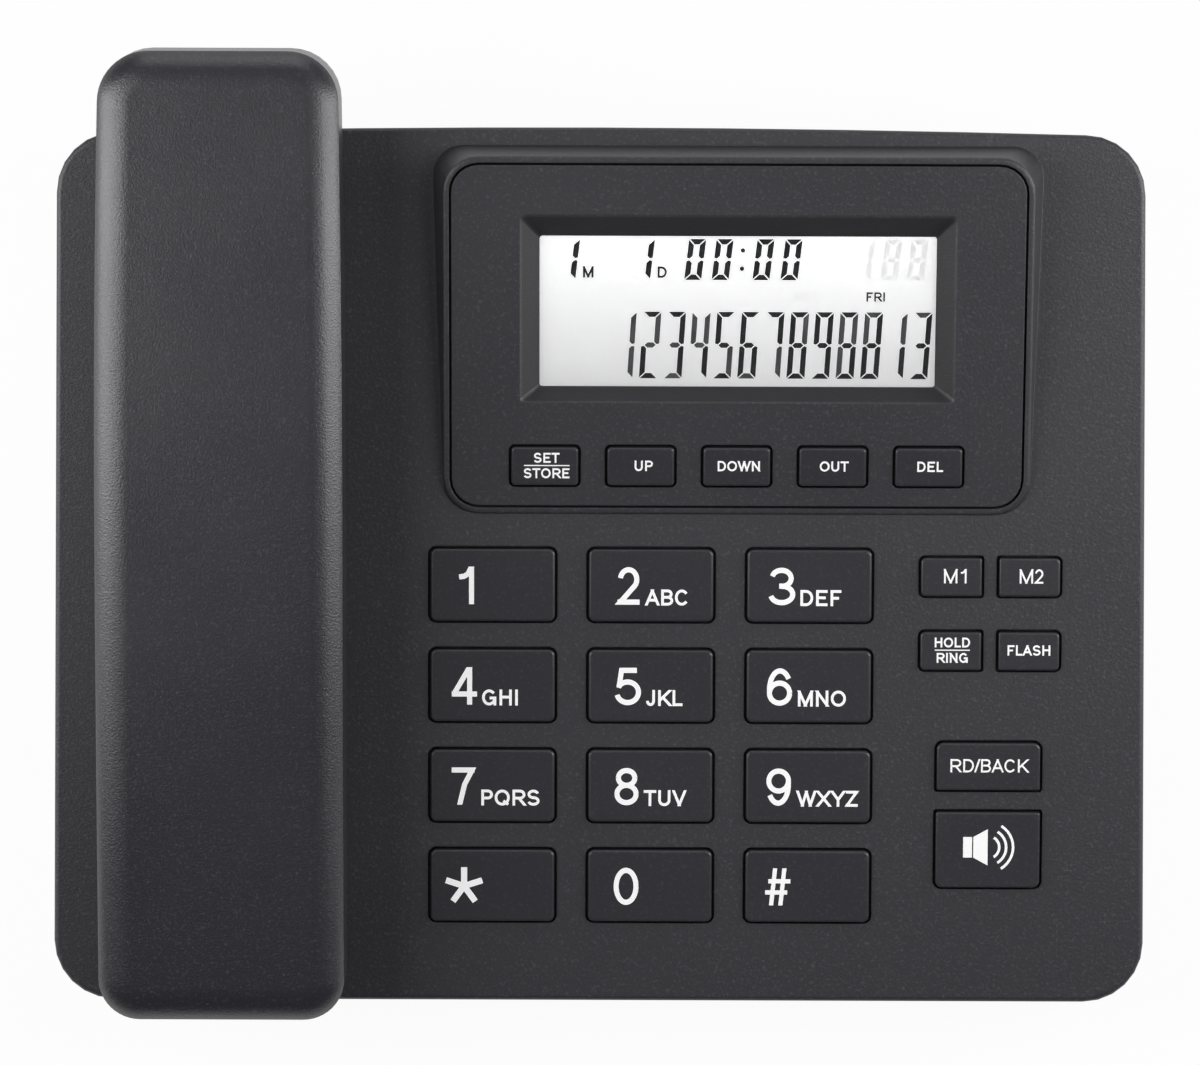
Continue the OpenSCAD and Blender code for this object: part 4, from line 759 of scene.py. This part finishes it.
# a row's place over the cell's middle, and the width, height, stroke and slant of its figures
upper_row, upper_size = 0.0062, (0.0034, 0.0083, 0.0011, 0.115)
lower_row, lower_size = -0.0139, (0.0036, 0.0136, 0.00106, 0.062)
lower_start, lower_pitch, dim_share = -0.02455, 0.00492, 0.3
date_and_time = (("1", -0.0358), ("1", -0.0209), ("0", -0.0107), ("0", -0.00524),
                 ("0", 0.0029), ("0", 0.0085))
dot_x, dot_rows, dot_lean, dot_radius = 0.0008, (0.0085, 0.0122), 0.05, 0.00045
lit, dim, resting = [], [], []
for figure, x in date_and_time:
    lit += digit_segments(figures[figure], (x, upper_row), *upper_size)
turns = [math.radians(30 * i) for i in range(12)]
for y in dot_rows:
    x = dot_x + dot_lean * (y - dot_rows[0])
    lit.append([(x + dot_radius * math.cos(t), y + dot_radius * math.sin(t)) for t in turns])
chance = random.Random(4)
for i, figure in enumerate("1234567898813"):
    for outline in digit_segments(figures[figure], (lower_start + lower_pitch * i, lower_row), *lower_size):
        (dim if chance.random() < dim_share else lit).append(outline)
for figure, x in (("1", 0.0230), ("8", 0.0284), ("8", 0.0336)):
    resting += digit_segments(figures[figure], (x, upper_row), *upper_size)
# resting segments glow with the same painted light as the polariser
marks = (("lcd_lit", "crystal_lit_black", "#232426", 0.0, lit),
         ("lcd_dim", "crystal_lit_grey", "#5E5F61", 0.0, dim),
         ("lcd_resting", "crystal_at_rest", "#E2E2E2", painted_glow, resting))
# words of the display: height and place of their lower left corner from the cell's middle
month_high, day_high, sign_weight = 0.0023, 0.0019, 0.19
signs = {
    "lcd_lit": (("M", month_high, -0.0310, 0.0066), ("D", month_high, -0.0160, 0.0066),
                ("FRI", day_high, 0.0257, 0.0019)),
    "lcd_resting": (("WED", day_high, 0.0107, 0.0019), ("THU", day_high, 0.0184, 0.0019)),
}
for name, finish, colour, glow, outlines in marks:
    # A driven segment blocks the light evenly; a trace of unevenness keeps it from looking cut out.
    crystal, tree, shader = plain_material(finish, colour, rough=0.5, ior=1.5)
    shader.inputs["Emission Color"].default_value = linear(colour)
    shader.inputs["Emission Strength"].default_value = glow
    cloudy_gloss(tree, shader, width=0.003, detail=1.0, smooth=0.42, rough=0.58)
    parts = [(stamped(outlines, print_lift), Matrix.Identity(4))]
    for word, tall, x, y in signs.get(name, ()):
        parts.append((lettering(word, tall, sign_weight), Matrix.Translation((x, y, 0))))
    mesh = joined(name, parts)
    mesh.transform(stand @ Matrix.Translation(cell_mid + Vector((0, 0, cell_lift))))
    piece(name, mesh, crystal, "base")


# SOCKETS
# Moulded modular sockets for the line and the handset's cord, with gold-plated spring wires in a row.
# The wires lie in a comb at the roof of the channel and slope down into it.
# Glass-filled polyester has a faint flow pattern in its gloss.
socket_black, tree, shader = plain_material("polyester_moulded_black", "#26272A", rough=0.5, ior=1.57)
cloudy_gloss(tree, shader, width=0.003, detail=2.0, smooth=0.42, rough=0.6)
for node in ("line_jack", "handset_jack", "handset_socket"):
    dress(node, socket_black)

# Gold plating is bright and yellow, and wiped duller where the plug slides.
contact_gold, tree, shader = plain_material("bronze_gold_plated", "#D9B25A", rough=0.25, metallic=1.0)
cloudy_gloss(tree, shader, width=0.0005, detail=2.0, smooth=0.15, rough=0.4)
comb, size = start_tree("contact_comb", ("Count", "Pitch", "Wire Radius", "Length", "Drop"))
end = add(comb, "ShaderNodeCombineXYZ", {}, {"Y": size["Length"], "Z": size["Drop"]})
wire = add(comb, "GeometryNodeCurvePrimitiveLine", {}, {"Start": (0, 0, 0), "End": end.outputs[0]})
ring = add(comb, "GeometryNodeCurvePrimitiveCircle", {}, {"Resolution": 8, "Radius": size["Wire Radius"]})
rod = add(comb, "GeometryNodeCurveToMesh", {},
          {"Curve": wire.outputs[0], "Profile Curve": ring.outputs[0], "Fill Caps": True})
step = add(comb, "ShaderNodeCombineXYZ", {}, {"X": size["Pitch"]})
row = add(comb, "GeometryNodeMeshLine", {}, {"Count": size["Count"], "Offset": step.outputs[0]})
wires = add(comb, "GeometryNodeInstanceOnPoints", {}, {"Points": row.outputs[0], "Instance": rod.outputs[0]})
end_tree(comb, wires.outputs[0], contact_gold)
wire_pitch, wire_radius, wire_long, wire_drop = 0.00102, 0.0002, 0.0075, -0.0028
channel_deep, channel_high, comb_up, comb_out, comb_down = 0.011, 0.0068, 0.00065, 0.0006, -0.0003
for name, node, count, turn, body in (
    ("line_contacts", "line_jack", 6, 0, "base"),
    ("handset_jack_contacts", "handset_jack", 4, 90, "base"),
    ("handset_contacts", "handset_socket", 4, 180, "handset"),
):
    tilt = deck_tilt if node == "handset_socket" else 0.0
    low, high = leaned(node, tilt)
    across_mid, along_mid = (low.x + high.x) / 2, (low.y + high.y) / 2
    mouth = {0: (across_mid, high.y), 90: (low.x, along_mid), 180: (across_mid, low.y)}[turn]
    roof = (low.z + high.z) / 2 + channel_high / 2 + comb_up
    first_wire = (-wire_pitch * (count - 1) / 2, -channel_deep + comb_out, comb_down)
    mesh = grown(name, comb, {"Count": count, "Pitch": wire_pitch, "Wire Radius": wire_radius,
                              "Length": wire_long, "Drop": wire_drop})
    mesh.transform(Matrix.Rotation(tilt, 4, "X") @ Matrix.Translation((*mouth, roof))
                   @ Matrix.Rotation(math.radians(turn), 4, "Z") @ Matrix.Translation(first_wire))
    piece(name, mesh, contact_gold, body)


# SOUND AND SWITCH PARTS
# Loudspeaker over the slots of the tray, capsules in the handset's pads, hook switch under the ear well.
# They sit in moulded rings inside the housings, and a steel weight lies in the grip.
# Phosphated steel is grey and dull, with a bloom in its gloss.
speaker_steel, tree, shader = plain_material("steel_phosphated_grey", "#6B6C70", rough=0.5, metallic=1.0)
cloudy_gloss(tree, shader, width=0.002, detail=3.0, smooth=0.4, rough=0.65)
for node in ("loudspeaker", "handset_weight", "ear_speaker", "handset_microphone", "base_microphone"):
    dress(node, speaker_steel)
dress("hook_switch", socket_black)


# HOOK PLUNGER
# The smooth ABS finger in the ear well that the handset holds down and that a spring lifts.
# Its top is polished by the pad that rests on it.
abs_plunger = moulded_abs("abs_rubbed_black", "#302F34", "#3F3E44",
                          grit=0.0004, rough=0.34, depth=0.00001)
dress("hook_plunger", abs_plunger)


# HANDSET
# Two black ABS shells on one joint line: an arched back with a wide rounding, and the grip with its two pads.
# Two screws from below draw them together; the grain is a little finer than the deck's.
def crown_side(inset):
    """Right half of the back's outline from the front to the back end, drawn in by inset."""
    front, back = half_l - corner_front, half_l - corner_back
    tight, wide = corner_front - inset, corner_back - inset
    quarter = [math.radians(90 * i / arc_steps) for i in range(arc_steps + 1)]
    side = [(half_w - corner_front + tight * math.sin(a), -front - tight * math.cos(a)) for a in quarter]
    for y in (i / arc_steps for i in range(1 - arc_steps, arc_steps)):
        side.append((half_w - side_taper * max(y, 0) ** 2 - inset, y * (back if y > 0 else front)))
    turn_x = half_w - side_taper - corner_back
    return side + [(turn_x + wide * math.cos(a), back + wide * math.sin(a)) for a in quarter]


def crown_level(y):
    """Height of the back at y, along the arch."""
    return high.z - crown_arch * (y / (half_l - (corner_back if y > 0 else corner_front))) ** 2


# The handset's mould is polished a little finer than the deck's, so its roundings catch the light.
abs_handset_black = moulded_abs("abs_fine_spark_black", "#1D1B23", "#3A383F",
                                grit=0.0004, rough=0.37, depth=0.00014)
abs_handset_black.node_tree.nodes["Principled BSDF"].inputs["Specular IOR Level"].default_value = 0.75
crown_round, crown_turn, crown_arch, shell_wall = 0.0065, math.radians(54), 0.003, 0.0022
soft_round, soft_turn = 0.012, math.radians(15)
corner_back, corner_front, side_taper, arc_steps = 0.010, 0.0082, 0.0008, 12
seam, crease_turn = 0.000001, math.radians(20)
low, high = leaned("handset_top", deck_tilt)
mid_u, mid_v = (low.x + high.x) / 2, (low.y + high.y) / 2
half_w, half_l = (high.x - low.x) / 2, (high.y - low.y) / 2
shell = bmesh.new()
skins = []
for wall in (0.0, shell_wall):
    loops = [[(x, y, low.z) for x, y in crown_side(wall)]]
    for i in range(arc_steps + 1):
        # a tight rounding that runs out into a wide one, so the top starts softly
        turn, tight_r, soft_r = crown_turn * (1 - i / arc_steps), crown_round - wall, soft_round - wall
        tight, soft = max(turn, soft_turn), min(turn, soft_turn)
        inset = tight_r * (math.sin(crown_turn) - math.sin(tight))
        inset += soft_r * (math.sin(soft_turn) - math.sin(soft))
        drop = tight_r * (math.cos(soft_turn) - math.cos(tight)) + soft_r * (1 - math.cos(soft))
        loops.append([(x, y, crown_level(y) - wall - drop) for x, y in crown_side(wall + inset)])
    rights = [[shell.verts.new((mid_u + x, mid_v + y, z)) for x, y, z in loop] for loop in loops]
    lefts = [[shell.verts.new((mid_u - x, mid_v + y, z)) for x, y, z in loop] for loop in loops]
    rings = [right + left[::-1] for right, left in zip(rights, lefts)]
    for lower, upper in zip(rings, rings[1:]):
        for i in range(len(lower)):
            j = (i + 1) % len(lower)
            shell.faces.new((lower[i], lower[j], upper[j], upper[i]))
    for i in range(len(rights[-1]) - 1):
        shell.faces.new((rights[-1][i], rights[-1][i + 1], lefts[-1][i + 1], lefts[-1][i]))
    skins.append(rings[0])
for i in range(len(skins[0])):
    j = (i + 1) % len(skins[0])
    shell.faces.new((skins[0][i], skins[0][j], skins[1][j], skins[1][i]))
bmesh.ops.remove_doubles(shell, verts=shell.verts, dist=seam)
bmesh.ops.recalc_face_normals(shell, faces=shell.faces)
for face in shell.faces:
    face.smooth = True
for edge in shell.edges:
    edge.smooth = edge.calc_face_angle(0) < crease_turn
mesh = bpy.data.meshes.new("handset_back")
shell.to_mesh(mesh)
# the socket's mouth is cut out of the front end
mouth_low, mouth_high = leaned("handset_socket", deck_tilt)
mouth_gap, mouth_past, cut = 0.0002, 0.001, bmesh.new()
middle = (mouth_low + mouth_high) / 2
reach = mouth_high - mouth_low + Vector((mouth_gap, mouth_past, mouth_gap)) * 2
bmesh.ops.create_cube(cut, size=1, matrix=Matrix.Translation(middle) @ Matrix.Diagonal((*reach, 1)))
cut_mesh = bpy.data.meshes.new("mouth_cut")
cut.to_mesh(cut_mesh)
cutter, carrier = bpy.data.objects.new("mouth_cut", cut_mesh), bpy.data.objects.new("handset_back", mesh)
scene.collection.objects.link(cutter)
scene.collection.objects.link(carrier)
carrier.modifiers.new("mouth", "BOOLEAN").object = cutter
carrier.modifiers.new("face_weight", "WEIGHTED_NORMAL").keep_sharp = True
mesh = bpy.data.meshes.new_from_object(carrier.evaluated_get(bpy.context.evaluated_depsgraph_get()))
bpy.data.objects.remove(carrier)
bpy.data.objects.remove(cutter)
mesh.transform(Matrix.Rotation(deck_tilt, 4, "X"))
piece("handset_back", mesh, abs_handset_black, "handset", ["handset_top"])
dress("handset_bottom", abs_handset_black)
